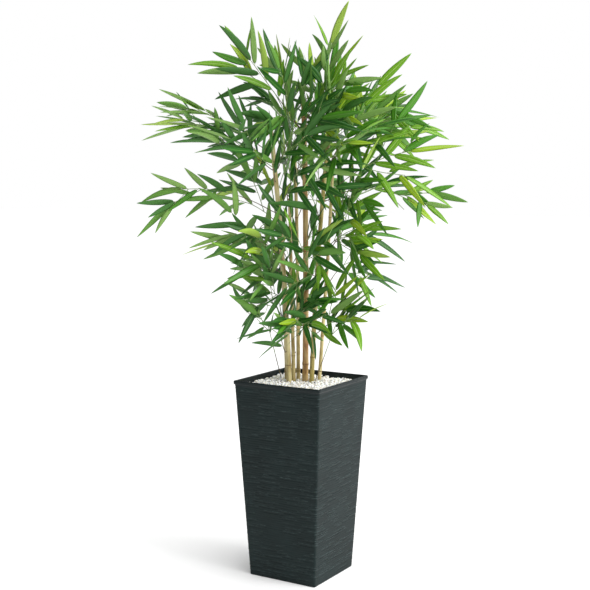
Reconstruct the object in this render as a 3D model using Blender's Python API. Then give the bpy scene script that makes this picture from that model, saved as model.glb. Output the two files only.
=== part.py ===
"""Potted artificial bamboo: natural canes with sprays of fabric leaves, in a tall square planter.

Everything is in metres, +Z up. The origin is the middle of the planter's flat underside, and the
planter's sides run along X and Y. The plant itself is arranged to be looked at over the corner
between the planter's -Y and +X sides, so places on it are given as seen from there:
across (to the onlooker's right), toward (to the onlooker) and height above the floor.
"""

import math
import random
from collections import namedtuple

import bmesh
import bpy
from mathutils import Matrix, Vector
from mathutils.bvhtree import BVHTree

# Driving dimensions of the planter
PLANTER_HEIGHT = 0.520
PLANTER_TOP = 0.260
PLANTER_FOOT = 0.199
CORNER_RADIUS = 0.0045
INNER_CORNER_RADIUS = 0.001
CORNER_STEPS = 3
WALL = 0.004
FLOOR = 0.006
LIP_HEIGHT = 0.008
LIP_OVERHANG = 0.0022
LIP_WIDTH = 0.006
FOOT_CHAMFER = 0.002

# Driving dimensions of what fills it
GAP = 0.0003
PEBBLE_TOP = 0.508
PEBBLE_DEPTH = 0.030
PEBBLE_CELLS = 9
PEBBLE_ROUGHNESS = 0.0022
PEBBLE_MOUND = 0.003

# Driving dimensions of the canes
DISPLAY_TURN = math.radians(31.7)
CANE_SIDES = 8
FIRST_JOINT = 0.045
JOINT_SPACING = 0.095
JOINT_GROWTH = 1.05
JOINT_SWELL = 1.15
JOINT_HALF = 0.0035
SHARP_ANGLE = math.radians(50)

# Driving dimensions of the sprays and their leaves
STEM_RADIUS = 0.0020
TWIG_RADIUS = 0.0016
TIP_RADIUS = 0.0012
STEM_STEPS = 4
TWIG_STEPS = 2
LEAF_SPACING = 0.027
TWIG_BARE = 0.2
LEAF_WIDTH = 0.155
LEAF_KEEL = 0.022
LEAF_SHOULDER = 0.36
LEAF_NECK = 0.055
LEAF_SINK = 0.003
TRIES = 6
CLEARANCE = 0.0006

Cane = namedtuple("Cane", "name foot top bow radii")
Spray = namedtuple("Spray", "name cane height reach arch roll leaf bare twigs")
Leaf = namedtuple("Leaf", "base along normal length sag")
Twig = namedtuple("Twig", "name points radii")

# foot is (across, toward), top is (across, toward, height), radii are at the foot and the top.
CANES = (
    Cane("cane_1", (-0.040, -0.045), (-0.056, -0.070, 0.86), 0.002, (0.0040, 0.0030)),
    Cane("cane_2", (-0.032, -0.013), (-0.083, 0.020, 1.20), 0.007, (0.0076, 0.0056)),
    Cane("cane_3", (-0.020, -0.022), (-0.032, -0.050, 0.99), 0.000, (0.0054, 0.0042)),
    Cane("cane_4", (-0.009, -0.050), (-0.018, -0.075, 1.10), 0.003, (0.0054, 0.0044)),
    Cane("cane_5", (0.009, -0.030), (0.004, -0.020, 1.24), 0.004, (0.0082, 0.0062)),
    Cane("cane_6", (0.025, -0.006), (0.072, 0.022, 1.19), -0.006, (0.0064, 0.0050)),
    Cane("cane_7", (0.045, -0.045), (0.083, -0.060, 1.08), 0.002, (0.0050, 0.0040)),
)
BED = "bed"


def seen(across, toward, height):
    """A place on the plant, in the planter's own axes."""
    right = Vector((math.cos(DISPLAY_TURN), math.sin(DISPLAY_TURN), 0.0))
    nearer = Vector((math.sin(DISPLAY_TURN), -math.cos(DISPLAY_TURN), 0.0))
    return right * across + nearer * toward + Vector((0.0, 0.0, height))


# One row for each spray that shows from the display side: the cane it grows on and the height of
# its root there, its stem's reach (across, toward, rise) from the root to the last leaf, how far
# the stem arches above the straight line, how far its fan of leaves is turned up out of the
# level, in degrees, its leaf length, how much of the stem is bare, and its side twigs, each as
# its place on the stem and its angle to it, in degrees, below the stem if that is positive.
# A root on the bed is given as (across, toward).
FORK = ((0.4, 50), (0.55, -50))
RAISED_FORK = ((0.4, -50), (0.55, 50))
HIGH_FORK = ((0.45, -35), (0.6, 35))
LOW_FORK = ((0.45, 35), (0.6, -35))
WIDE_FORK = ((0.3, 50), (0.45, -50), (0.65, 45))
TOP_FORK = ((0.3, -50), (0.5, 45), (0.75, -25))
FAR_FORK = ((0.5, 50), (0.65, -50))
END_FORK = ((0.75, 35), (0.88, -30))
DISPLAY_SPRAYS = (
    Spray("top", "cane_5", 1.2, (0.075, 0.02, 0.115), 0.0, 75, 0.13, 0.3, TOP_FORK),
    Spray("top_left", "cane_5", 1.175, (-0.135, 0.03, 0.165), 0.0, 85, 0.13, 0.4, ((0.35, -50), (0.6, 25))),
    Spray("shoulder_left", "cane_5", 1.14, (-0.085, -0.02, 0.105), 0.0, 60, 0.105, 0.3, FORK),
    Spray("shoulder_right", "cane_6", 1.15, (0.155, -0.02, 0.07), 0.01, 80, 0.13, 0.4, HIGH_FORK),
    Spray("crown_left", "cane_5", 1.165, (-0.06, 0.07, 0.035), 0.01, 75, 0.13, 0.3, FORK),
    Spray("crown_right", "cane_5", 1.12, (0.065, 0.07, 0.145), 0.01, 75, 0.13, 0.3, WIDE_FORK),
    Spray("high_left", "cane_2", 1.11, (-0.205, 0.035, 0.065), 0.02, 15, 0.13, 0.4, HIGH_FORK),
    Spray("high_left_low", "cane_2", 1.065, (-0.115, 0.075, 0.075), 0.0, 30, 0.12, 0.4, HIGH_FORK),
    Spray("high_right", "cane_6", 1.0, (0.215, 0.055, 0.11), 0.02, 60, 0.135, 0.45, FAR_FORK),
    Spray("long_left", "cane_2", 0.955, (-0.245, 0.04, 0.06), 0.02, 80, 0.105, 0.5, ((0.6, 50), (0.8, 30))),
    Spray("long_right", "cane_6", 0.985, (0.215, 0.035, 0.005), 0.03, 70, 0.095, 0.55, END_FORK),
    Spray("fan_right", "cane_7", 0.975, (0.08, 0.155, 0.005), 0.02, 60, 0.13, 0.4, RAISED_FORK),
    Spray("front_top", "cane_2", 1.07, (0.065, 0.045, 0.125), 0.01, 78, 0.135, 0.2, WIDE_FORK),
    Spray("front_top_right", "cane_6", 1.12, (-0.005, 0.04, 0.115), 0.0, 75, 0.135, 0.2, WIDE_FORK),
    Spray("front_right", "cane_6", 1.06, (0.055, 0.115, 0.07), 0.02, 40, 0.14, 0.3, FORK),
    Spray("front_left", "cane_2", 0.975, (0.07, 0.05, 0.11), 0.01, 80, 0.135, 0.2, WIDE_FORK),
    Spray("front_middle", "cane_6", 0.94, (-0.03, 0.05, 0.06), 0.01, 78, 0.14, 0.2, WIDE_FORK),
    Spray("middle_left", "cane_2", 0.85, (-0.12, 0.035, 0.05), 0.01, 60, 0.12, 0.4, LOW_FORK),
    Spray("middle_left_near", "cane_2", 0.9, (-0.065, 0.075, -0.005), 0.03, 70, 0.1, 0.4, ((0.4, 50),)),
    Spray("middle_right", "cane_6", 0.85, (0.095, 0.06, 0.065), 0.01, 60, 0.125, 0.4, RAISED_FORK),
    Spray("hanging_right", "cane_7", 0.855, (0.055, 0.085, 0.02), 0.02, 80, 0.125, 0.4, FORK),
    Spray("low_left", "cane_2", 0.8, (-0.08, 0.07, 0.04), 0.0, 60, 0.13, 0.1, ((0.3, 25), (0.5, -50))),
    Spray("low_middle", "cane_2", 0.735, (-0.045, 0.05, 0.02), 0.0, 70, 0.11, 0.1, FORK),
    Spray("low_front", "cane_6", 0.79, (-0.03, 0.045, 0.015), 0.0, 78, 0.125, 0.1, FORK),
    Spray("low_right", "cane_6", 0.64, (0.08, 0.06, 0.065), 0.0, 60, 0.13, 0.1, ((0.4, -50), (0.5, 35))),
    Spray("lower_left", "cane_2", 0.59, (-0.03, 0.04, 0.08), 0.0, 60, 0.12, 0.1, HIGH_FORK),
    Spray("lower_middle", "cane_2", 0.655, (0.045, 0.05, 0.05), 0.0, 78, 0.11, 0.1, FORK),
    Spray("lower_front", "cane_6", 0.665, (-0.02, 0.045, 0.02), 0.0, 78, 0.11, 0.2, FORK),
    Spray("middle", "cane_2", 0.79, (0.07, 0.06, 0.105), 0.01, 80, 0.135, 0.2, WIDE_FORK),
    Spray("crown_middle", "cane_5", 1.18, (0.02, 0.06, 0.065), 0.0, 80, 0.12, 0.1, FORK),
    Spray("shoulder_near", "cane_2", 1.035, (-0.01, 0.05, 0.09), 0.0, 75, 0.12, 0.1, FORK),
    Spray("upper_right", "cane_6", 1.085, (0.135, 0.03, 0.09), 0.01, 40, 0.13, 0.4, FORK),
    Spray("shoot_left", BED, (-0.055, -0.04), (-0.035, 0.045, 0.16), 0.0, 70, 0.075, 0.75, ((0.85, 40),)),
    Spray("shoot_right", BED, (0.035, 0.02), (0.055, 0.02, 0.165), 0.0, 60, 0.1, 0.7, ((0.8, 45),)),
)

# The sides and back, which the display side hides, are filled by a rule. The outer sprays climb
# the canes that stand there and turn by an even step, and reach as far as the crown is wide at
# that height. The canes are named from the left, as seen from the display side.
BACK_CANES = ("cane_1", "cane_3", "cane_4", "cane_7")
BACK_COUNT = 10
BACK_LOWEST = 0.68
BACK_HIGHEST = 1.07
BACK_TURN = math.radians(62)
BACK_ARC = math.radians(140)
BACK_BARE = 0.4
CANE_END = 0.02
CROWN_WIDEST = 1.05
CROWN_REACH = 0.22
CROWN_NARROWING = 0.78

# The inner sprays, short and leafy from near their roots, close the crown between its front and
# its back: the cane, the height of the root and the reach (across, toward, rise).
INNER_SPRAYS = (
    ("cane_3", 0.78, (-0.08, -0.05, 0.06)),
    ("cane_7", 0.95, (0.07, -0.04, 0.09)),
)

# A last spray grows nearly straight up from the top of each of those canes, with this reach,
# to the side on which the cane stands.
TIP_REACH = (0.02, -0.03, 0.15)
TIP_BELOW = 0.012


def crown_reach(height):
    """How far stems reach at this height: the crown is a top shape, widest two thirds up."""
    return CROWN_REACH * (1 - CROWN_NARROWING * abs(height - CROWN_WIDEST) / 0.4)


def cane_named(name):
    """The cane of this name."""
    return next(cane for cane in CANES if cane.name == name)


def back_cane(share, height):
    """The cane nearest a place this far round the back that is tall enough, or else the tallest."""
    first = int(share * len(BACK_CANES))
    nearest = [cane_named(name) for name in BACK_CANES[first:]]
    tall = [cane for cane in nearest if cane.top[2] - CANE_END > height]
    return tall[0] if tall else max(map(cane_named, BACK_CANES), key=lambda cane: cane.top[2])


def back_sprays():
    """The sprays of the sides and back."""
    sprays = []
    for i in range(BACK_COUNT):
        share = i / (BACK_COUNT - 1)
        height = BACK_LOWEST + (BACK_HIGHEST - BACK_LOWEST) * share
        turn = (i * BACK_TURN) % BACK_ARC
        cane = back_cane(turn / BACK_ARC, height)
        bearing = math.pi + (math.pi - BACK_ARC) / 2 + turn
        reach = crown_reach(height)
        spread = (reach * math.cos(bearing), reach * math.sin(bearing), 0.03 + 0.10 * share)
        leaf = 0.115 + 0.025 * share
        sprays.append(Spray(f"back_{i + 1}", cane.name, height, spread, 0.015, 55, leaf, BACK_BARE, FORK))
    for i, (name, height, spread) in enumerate(INNER_SPRAYS):
        sprays.append(Spray(f"inner_{i + 1}", name, height, spread, 0.0, 55, 0.125, 0.1, FORK))
    for name in BACK_CANES:
        cane = cane_named(name)
        spread = (math.copysign(TIP_REACH[0], cane.top[0]), *TIP_REACH[1:])
        root = cane.top[2] - TIP_BELOW
        sprays.append(Spray(f"tip_{name[5:]}", name, root, spread, 0.0, 60, 0.13, 0.1, FORK))
    return sprays


def new_material(name, colour, roughness):
    """A plain Principled material."""
    material = bpy.data.materials.new(name)
    material.use_nodes = True
    shader = material.node_tree.nodes["Principled BSDF"]
    shader.inputs["Base Color"].default_value = (*colour, 1.0)
    shader.inputs["Roughness"].default_value = roughness
    shader.inputs["Metallic"].default_value = 0.0
    return material


def lofted(rings):
    """A closed bmesh through rings of points. A last ring of one point is a tip."""
    shape = bmesh.new()
    rows = [[shape.verts.new(point) for point in ring] for ring in rings]
    for lower, upper in zip(rows, rows[1:]):
        count = len(lower)
        for i in range(count):
            j = (i + 1) % count
            if len(upper) == 1:
                shape.faces.new((lower[i], lower[j], upper[0]))
            else:
                shape.faces.new((lower[i], lower[j], upper[j], upper[i]))
    shape.faces.new(list(reversed(rows[0])))
    if len(rows[-1]) > 1:
        shape.faces.new(rows[-1])
    bmesh.ops.recalc_face_normals(shape, faces=shape.faces)
    return shape


def as_object(name, shape, material, collection=None, smooth=False):
    """Turns a bmesh into an object. A round one is shaded smooth, with its cut ends kept sharp."""
    mesh = bpy.data.meshes.new(name)
    shape.to_mesh(mesh)
    shape.free()
    mesh.materials.append(material)
    if smooth:
        mesh.shade_smooth()
        mesh.set_sharp_from_angle(angle=SHARP_ANGLE)
    obj = bpy.data.objects.new(name, mesh)
    (collection or bpy.context.scene.collection).objects.link(obj)
    return obj


def bake_modifiers(obj):
    """Applies the object's modifiers by reading the mesh that they make."""
    graph = bpy.context.evaluated_depsgraph_get()
    graph.update()
    mesh = bpy.data.meshes.new_from_object(obj.evaluated_get(graph))
    obj.modifiers.clear()
    obj.data = mesh


def rounded_square(side, radius, height):
    """A level square outline with rounded corners."""
    points = []
    inset = side / 2 - radius
    for corner in range(4):
        for step in range(CORNER_STEPS + 1):
            turn = math.pi / 2 * (corner + step / CORNER_STEPS)
            middle = Matrix.Rotation(math.pi / 2 * corner, 2) @ Vector((inset, inset))
            edge = Vector((math.cos(turn), math.sin(turn))) * radius
            points.append(Vector((*(middle + edge), height)))
    return points


def outer_side(height):
    """The planter's outer width at this height, below its lip."""
    return PLANTER_FOOT + (PLANTER_TOP - 2 * LIP_OVERHANG - PLANTER_FOOT) * height / PLANTER_HEIGHT


def inner_side(height):
    """The width of the space inside the planter at this height."""
    return outer_side(height) - 2 * WALL


def planter(material):
    """The tapering square shell with its floor and its rolled lip."""
    lip_foot = PLANTER_HEIGHT - LIP_HEIGHT
    lip_inside = PLANTER_TOP - 2 * LIP_WIDTH
    rings = [
        rounded_square(PLANTER_FOOT - 2 * FOOT_CHAMFER, CORNER_RADIUS, 0.0),
        rounded_square(PLANTER_FOOT, CORNER_RADIUS, FOOT_CHAMFER),
        rounded_square(outer_side(lip_foot), CORNER_RADIUS, lip_foot - LIP_OVERHANG),
        rounded_square(PLANTER_TOP, CORNER_RADIUS, lip_foot),
        rounded_square(PLANTER_TOP, CORNER_RADIUS, PLANTER_HEIGHT - 0.001),
        rounded_square(PLANTER_TOP - 0.002, CORNER_RADIUS, PLANTER_HEIGHT),
        rounded_square(lip_inside, CORNER_RADIUS - WALL / 2, PLANTER_HEIGHT),
        rounded_square(inner_side(lip_foot), INNER_CORNER_RADIUS, lip_foot),
        rounded_square(inner_side(FLOOR), INNER_CORNER_RADIUS, FLOOR),
    ]
    return as_object("planter", lofted(rings), material)


def filling(material):
    """The block of packing that fills the planter up to the pebbles and carries the canes."""
    rings = []
    for height in (FLOOR + GAP, filling_top()):
        side = inner_side(height) - 2 * GAP
        rings.append(rounded_square(side, INNER_CORNER_RADIUS, height))
    return as_object("filling", lofted(rings), material)


def filling_top():
    """The height of the packing, under the pebbles."""
    return PEBBLE_TOP - PEBBLE_DEPTH


def pebble_bed(material):
    """The layer of pebbles with its uneven top, and a hole round each cane."""
    draws = random.Random(7)
    bottom = filling_top() + GAP
    shape = bmesh.new()
    bmesh.ops.create_grid(shape, x_segments=PEBBLE_CELLS, y_segments=PEBBLE_CELLS, size=0.5)
    top_side = inner_side(PEBBLE_TOP) - 4 * GAP
    bottom_side = inner_side(bottom) - 4 * GAP
    for vert in shape.verts:
        off_centre = 2 * max(abs(vert.co.x), abs(vert.co.y))
        lump = draws.uniform(-PEBBLE_ROUGHNESS, PEBBLE_ROUGHNESS)
        mound = PEBBLE_MOUND * (1 - off_centre**2)
        vert.co = Vector((vert.co.x * top_side, vert.co.y * top_side, PEBBLE_TOP + lump + mound))
    rim = [edge for edge in shape.edges if edge.is_boundary]
    walls = bmesh.ops.extrude_edge_only(shape, edges=rim)["geom"]
    for vert in [item for item in walls if isinstance(item, bmesh.types.BMVert)]:
        vert.co = Vector(
            (vert.co.x * bottom_side / top_side, vert.co.y * bottom_side / top_side, bottom)
        )
    bmesh.ops.holes_fill(shape, edges=[edge for edge in shape.edges if edge.is_boundary])
    bmesh.ops.recalc_face_normals(shape, faces=shape.faces)
    bed = as_object("pebble_bed", shape, material)
    cutters = bpy.data.collections.new("cane_holes")
    for cane in CANES:
        as_object(cane.name + "_hole", cane_hole(cane), material, cutters)
    subtract = bed.modifiers.new("cane_holes", "BOOLEAN")
    subtract.operation = "DIFFERENCE"
    subtract.solver = "MANIFOLD"
    subtract.operand_type = "COLLECTION"
    subtract.collection = cutters
    bake_modifiers(bed)
    clear_collection(cutters)
    return bed


def clear_collection(collection):
    """Removes a helper collection with its objects."""
    for obj in list(collection.objects):
        bpy.data.objects.remove(obj)
    bpy.data.collections.remove(collection)


def cane_centre(cane, height):
    """The middle of a cane at this height."""
    start = filling_top() + GAP
    share = (height - start) / (cane.top[2] - start)
    across = cane.foot[0] + (cane.top[0] - cane.foot[0]) * share
    toward = cane.foot[1] + (cane.top[1] - cane.foot[1]) * share
    return seen(across + cane.bow * 4 * share * (1 - share), toward, height)


def cane_radius(cane, height):
    """A cane's radius between its joints, at this height."""
    start = filling_top() + GAP
    share = (height - start) / (cane.top[2] - start)
    return cane.radii[0] + (cane.radii[1] - cane.radii[0]) * share


def cane_joints(cane):
    """The heights of the swollen joints along a cane."""
    spacing = JOINT_SPACING
    height = PEBBLE_TOP + FIRST_JOINT * (0.5 + CANES.index(cane) % 3 / 2)
    heights = []
    while height < cane.top[2] - JOINT_SPACING / 3:
        heights.append(height)
        height += spacing
        spacing *= JOINT_GROWTH
    return heights


def cane_ring(cane, height, radius):
    """One level ring of a cane."""
    centre = cane_centre(cane, height)
    turns = (2 * math.pi * i / CANE_SIDES for i in range(CANE_SIDES))
    return [centre + Vector((math.cos(t), math.sin(t), 0)) * radius for t in turns]


def cane_shape(cane):
    """A cane from its flat foot on the packing, through its joints, to its flat cut top."""
    heights = [(filling_top() + GAP, 1.0)]
    for joint in cane_joints(cane):
        heights.append((joint - JOINT_HALF, 1.0))
        heights.append((joint, JOINT_SWELL))
        heights.append((joint + JOINT_HALF, 1.0))
    heights.append((cane.top[2], 1.0))
    return lofted([cane_ring(cane, h, cane_radius(cane, h) * swell) for h, swell in heights])


def cane_hole(cane):
    """The space that a cane needs in the pebbles, a little wider than the cane."""
    rings = []
    for height in (filling_top() - 0.01, PEBBLE_TOP + 0.02):
        rings.append(cane_ring(cane, height, cane.radii[0] + 2 * GAP))
    return lofted(rings)


def frame_along(tangent):
    """Two directions across a tangent: one level, and the one that points up from it."""
    level = tangent.cross(Vector((0, 0, 1)))
    if level.length < 0.05:
        level = tangent.cross(Vector((0, 1, 0)))
    level.normalize()
    return level, level.cross(tangent).normalized()


def three_sided(direction):
    """The three corners, round its middle, of a section of a twig that runs in a direction."""
    level, upward = frame_along(direction)
    turns = (math.pi / 2 + 2 * math.pi * i / 3 for i in range(3))
    return [level * math.cos(t) + upward * math.sin(t) for t in turns]


def twig_shape(twig, grow=0.0):
    """A three-sided tapering twig through its points. Its flat sides stay flat."""
    corners = three_sided(twig.points[-1] - twig.points[0])
    rings = []
    last = len(twig.points) - 1
    for i, point in enumerate(twig.points):
        radius = twig.radii[0] + (twig.radii[1] - twig.radii[0]) * i / last + grow
        rings.append([point + corner * radius for corner in corners])
    return lofted(rings)


def leaf_shape(leaf, start=0.0, grow=0.0):
    """A keeled lance-shaped leaf: a neck sunk in its twig, a broad shoulder and a drawn-out tip."""
    sideways = leaf.along.cross(leaf.normal).normalized()
    half = leaf.length * LEAF_WIDTH / 2 + grow
    keel = leaf.length * LEAF_KEEL + grow
    section = (sideways * half, -sideways * half, -leaf.normal * keel)
    neck = LEAF_NECK + (1 - LEAF_NECK) * start / LEAF_SHOULDER
    down = Vector((0, 0, -leaf.sag * leaf.length))
    root = leaf.base + leaf.along * (leaf.length * start)
    middle = leaf.base + leaf.along * (leaf.length * LEAF_SHOULDER) + down * 0.2
    tip = leaf.base + leaf.along * leaf.length + down
    return lofted([[root + edge * neck for edge in section], [middle + edge for edge in section], [tip]])


def tree_of(*shapes):
    """A search tree over the faces of these bmeshes, which are then freed."""
    points, faces = [], []
    for shape in shapes:
        shape.verts.index_update()
        offset = len(points)
        points.extend(vert.co.copy() for vert in shape.verts)
        faces.extend([vert.index + offset for vert in face.verts] for face in shape.faces)
        shape.free()
    return BVHTree.FromPolygons(points, faces)


def tree_of_object(obj):
    """A search tree over an object's mesh."""
    shape = bmesh.new()
    shape.from_mesh(obj.data)
    return tree_of(shape)


def touches(tree, others):
    """True if a shape meets any of the others."""
    return any(tree.overlap(other) for other in others)


def seated_root(centre, outward, corners, support):
    """Where a stem starts, so that the nearest spot of its end is one gap clear of its support."""
    far = 0.05
    middles = [(a + b) / 2 for a, b in zip(corners, corners[1:] + corners[:1])]
    reaches = []
    for spot in corners + middles:
        start = centre + outward * far + spot * STEM_RADIUS
        hit = support.ray_cast(start, -outward)[0]
        if hit:
            reaches.append((start - hit).length)
    return centre + outward * (far - min(reaches) + GAP)


def draws_for(name, *numbers):
    """The draws of one twig or leaf alone, so that it grows the same whatever grows before it."""
    return random.Random(" ".join([name, *map(str, numbers)]))


def stem_of(spray, turn, supports):
    """The main stem of a spray, turned round its root by a small angle to pass what is near."""
    reach = Matrix.Rotation(turn, 3, "Z") @ seen(*spray.reach)
    if spray.cane == BED:
        centre = seen(*spray.height, PEBBLE_TOP)
        outward = Vector((0, 0, 1))
    else:
        cane = next(c for c in CANES if c.name == spray.cane)
        centre = cane_centre(cane, spray.height)
        outward = Vector((reach.x, reach.y, 0)).normalized()
    tip = centre + reach
    root = seated_root(centre, outward, three_sided(tip - centre), supports[spray.cane])
    collar = root + outward * 0.004
    bend = collar.lerp(tip, 0.5) + Vector((0, 0, spray.arch * 2))
    points = [root]
    for i in range(STEM_STEPS + 1):
        t = i / STEM_STEPS
        points.append(collar * (1 - t) ** 2 + bend * 2 * t * (1 - t) + tip * t**2)
    return Twig(spray.name, points, (STEM_RADIUS, TIP_RADIUS))


def along_twig(twig, share):
    """The point and direction at this share of a twig's length."""
    steps = [(b - a) for a, b in zip(twig.points, twig.points[1:])]
    left = share * sum(step.length for step in steps)
    for point, step in zip(twig.points, steps):
        if left <= step.length or step is steps[-1]:
            return point + step * min(1.0, left / step.length), step.normalized()
        left -= step.length


def fan_axes(tangent, roll):
    """The side and the face of a fan of leaves that is turned up out of the level by roll."""
    level, upward = frame_along(tangent)
    turned = Matrix.Rotation(math.radians(roll), 3, tangent)
    return turned @ level, turned @ upward


def side_twigs(spray, stem):
    """The side twigs of a spray's stem, each bending back a little towards the stem's way."""
    twigs = []
    for number, (share, degrees) in enumerate(spray.twigs, 1):
        draws = draws_for(spray.name, number)
        point, tangent = along_twig(stem, share)
        side, face = fan_axes(tangent, spray.roll + draws.uniform(-15, 15))
        turn = math.radians(degrees)
        along = tangent * math.cos(turn) + side * math.sin(turn) + face * draws.uniform(-0.15, 0.25)
        reach = spray.leaf * draws.uniform(0.60, 0.80)
        points = []
        for step in range(TWIG_STEPS + 1):
            t = step / TWIG_STEPS
            points.append(point + along.normalized() * reach * t + tangent * reach * 0.2 * t * t)
        twigs.append(Twig(f"{spray.name}_{number}", points, (TWIG_RADIUS, TIP_RADIUS)))
    return twigs


def leaf_places(twig, from_share):
    """(share along the twig, hand) of each leaf: by turns to either side, and one at the tip."""
    length = sum((b - a).length for a, b in zip(twig.points, twig.points[1:]))
    count = max(2, round(length * (1 - from_share) / LEAF_SPACING))
    hand = draws_for(twig.name).choice((-1, 1))
    places = [(1.0, 0)]
    for i in range(count):
        places.append((1 - (1 - from_share) * (i + 0.6) / count, hand if i % 2 else -hand))
    return places


def grow_leaf(spray, twig, share, hand, draws):
    """One leaf at this share of a twig: nearer the tip it lies closer along the twig."""
    point, tangent = along_twig(twig, share)
    side, face = fan_axes(tangent, spray.roll + draws.uniform(-20, 20))
    spread = math.radians(draws.uniform(0, 12) if hand == 0 else 24 + 28 * (1 - share))
    spread += math.radians(draws.uniform(-8, 10))
    along = tangent * math.cos(spread) + side * (hand or 1) * math.sin(spread)
    along += face * draws.uniform(-0.2, 0.2) + Vector((0, 0, -0.10))
    along.normalize()
    normal = (face - along * face.dot(along)).normalized()
    normal = Matrix.Rotation(math.radians(draws.uniform(-30, 30)), 3, along) @ normal
    if normal.z < 0:
        normal.negate()
    length = spray.leaf * (draws.uniform(0.80, 1.05) if hand else draws.uniform(1.00, 1.10))
    base = point if hand else point - tangent * LEAF_SINK
    return Leaf(base, along, normal, length, draws.uniform(0.02, 0.18))


def grow_spray(spray, supports, solids, grown):
    """The twigs and leaves of a spray. One that would meet a cane or another spray is skipped."""
    others = [*solids, *grown]
    for turn in (0, 6, -6, 12, -12, 20, -20, 30, -30):
        stem = stem_of(spray, math.radians(turn), supports)
        free = stem._replace(points=stem.points[1:])
        if touches(tree_of(twig_shape(free, CLEARANCE)), solids):
            continue
        if not touches(tree_of(twig_shape(stem, CLEARANCE)), grown):
            break
    else:
        return [], []
    twigs = [stem]
    for twig in side_twigs(spray, stem):
        if not touches(tree_of(twig_shape(twig, CLEARANCE)), others):
            twigs.append(twig)
    leaves = []
    own = [tree_of(twig_shape(twig)) for twig in twigs]
    for twig in twigs:
        from_share = spray.bare if twig is stem else TWIG_BARE
        for place, (share, hand) in enumerate(leaf_places(twig, from_share)):
            for attempt in range(TRIES):
                draws = draws_for(twig.name, place, attempt)
                leaf = grow_leaf(spray, twig, share, hand, draws)
                if touches(tree_of(leaf_shape(leaf, grow=CLEARANCE)), others):
                    continue
                if touches(tree_of(leaf_shape(leaf, start=0.12)), own):
                    continue
                own.append(tree_of(leaf_shape(leaf, start=0.12)))
                leaves.append(leaf)
                break
    return twigs, leaves


def fused_spray(spray, twigs, leaves, material):
    """Joins a spray's twigs and leaves into one closed body."""
    stem, *more = [twig_shape(twig) for twig in twigs]
    body = as_object(spray.name, stem, material)
    pieces = bpy.data.collections.new(spray.name + "_pieces")
    for shape in more + [leaf_shape(leaf) for leaf in leaves]:
        as_object(spray.name + "_piece", shape, material, pieces)
    join = body.modifiers.new("join", "BOOLEAN")
    join.operation = "UNION"
    join.solver = "MANIFOLD"
    join.operand_type = "COLLECTION"
    join.collection = pieces
    bake_modifiers(body)
    clear_collection(pieces)
    return body


def main():
    """Builds the planter, what fills it, the canes and the sprays."""
    for obj in list(bpy.data.objects):
        bpy.data.objects.remove(obj)
    resin = new_material("ribbed_resin", (0.030, 0.040, 0.042), 0.55)
    packing = new_material("packing", (0.10, 0.08, 0.06), 0.90)
    marble = new_material("white_marble_chips", (0.80, 0.77, 0.72), 0.60)
    culm = new_material("dried_bamboo", (0.52, 0.36, 0.17), 0.45)
    fabric = new_material("leaf_fabric", (0.07, 0.22, 0.04), 0.50)

    shell = planter(resin)
    filling(packing)
    bed = pebble_bed(marble)
    supports = {BED: tree_of_object(bed)}
    for cane in CANES:
        culm_body = as_object(cane.name, cane_shape(cane), culm, smooth=True)
        supports[cane.name] = tree_of_object(culm_body)
    solids = [*supports.values(), tree_of_object(shell)]
    grown = []
    count = 0
    for spray in [*DISPLAY_SPRAYS, *back_sprays()]:
        twigs, leaves = grow_spray(spray, supports, solids, grown)
        if not leaves:
            print("no room for", spray.name)
            continue
        grown.append(tree_of(*map(twig_shape, twigs), *map(leaf_shape, leaves)))
        fused_spray(spray._replace(name="spray_" + spray.name), twigs, leaves, fabric)
        count += len(leaves)
    print(count, "leaves")


main()
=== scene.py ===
"""The looks of a potted artificial bamboo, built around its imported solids.

Everything is in metres in the solids' own frame: +Z up, the origin in the middle of the planter's
underside, the planter's sides along X and Y. Places on the plant are given as seen from the display
side: across (to the onlooker's right), toward (to the onlooker) and height above the floor.
"""

import math
import random
from collections import namedtuple

import bmesh
import bpy
from mathutils import Matrix, Vector, noise
from mathutils.bvhtree import BVHTree


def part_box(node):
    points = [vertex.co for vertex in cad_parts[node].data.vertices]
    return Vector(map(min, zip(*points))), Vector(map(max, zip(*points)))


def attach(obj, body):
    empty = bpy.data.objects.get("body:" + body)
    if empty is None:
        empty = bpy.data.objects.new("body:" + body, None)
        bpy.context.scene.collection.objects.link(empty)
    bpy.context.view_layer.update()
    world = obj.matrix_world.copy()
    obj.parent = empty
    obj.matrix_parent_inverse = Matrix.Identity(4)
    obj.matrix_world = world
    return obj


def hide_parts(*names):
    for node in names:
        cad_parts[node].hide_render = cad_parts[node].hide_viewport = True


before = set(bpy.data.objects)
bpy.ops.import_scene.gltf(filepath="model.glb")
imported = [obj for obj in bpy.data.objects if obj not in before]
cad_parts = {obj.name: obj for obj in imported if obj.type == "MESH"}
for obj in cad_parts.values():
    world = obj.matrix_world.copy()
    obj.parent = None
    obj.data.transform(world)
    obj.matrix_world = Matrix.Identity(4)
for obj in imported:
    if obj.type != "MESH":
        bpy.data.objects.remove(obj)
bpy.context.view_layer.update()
MM = 0.001

# How far the display side is turned from the planter's own axes, and the gap between the solids
DISPLAY_TURN = math.radians(31.7)
GAP = 0.3 * MM

# The planter, as in the solids, and the shallow recess in its underside
PLANTER_HEIGHT = 0.520
PLANTER_TOP = 0.260
PLANTER_FOOT = 0.199
CORNER_RADIUS = 0.0045
INNER_CORNER_RADIUS = 0.001
WALL = 0.004
FLOOR = 0.006
LIP_HEIGHT = 0.008
LIP_OVERHANG = 0.0022
LIP_WIDTH = 0.006
FOOT_CHAMFER = 0.002
RECESS_EDGE = (22 * MM, 24 * MM)
RECESS_DEPTH = 1.5 * MM
WALL_COLUMNS = 52
CORNER_COLUMNS = 4

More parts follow.
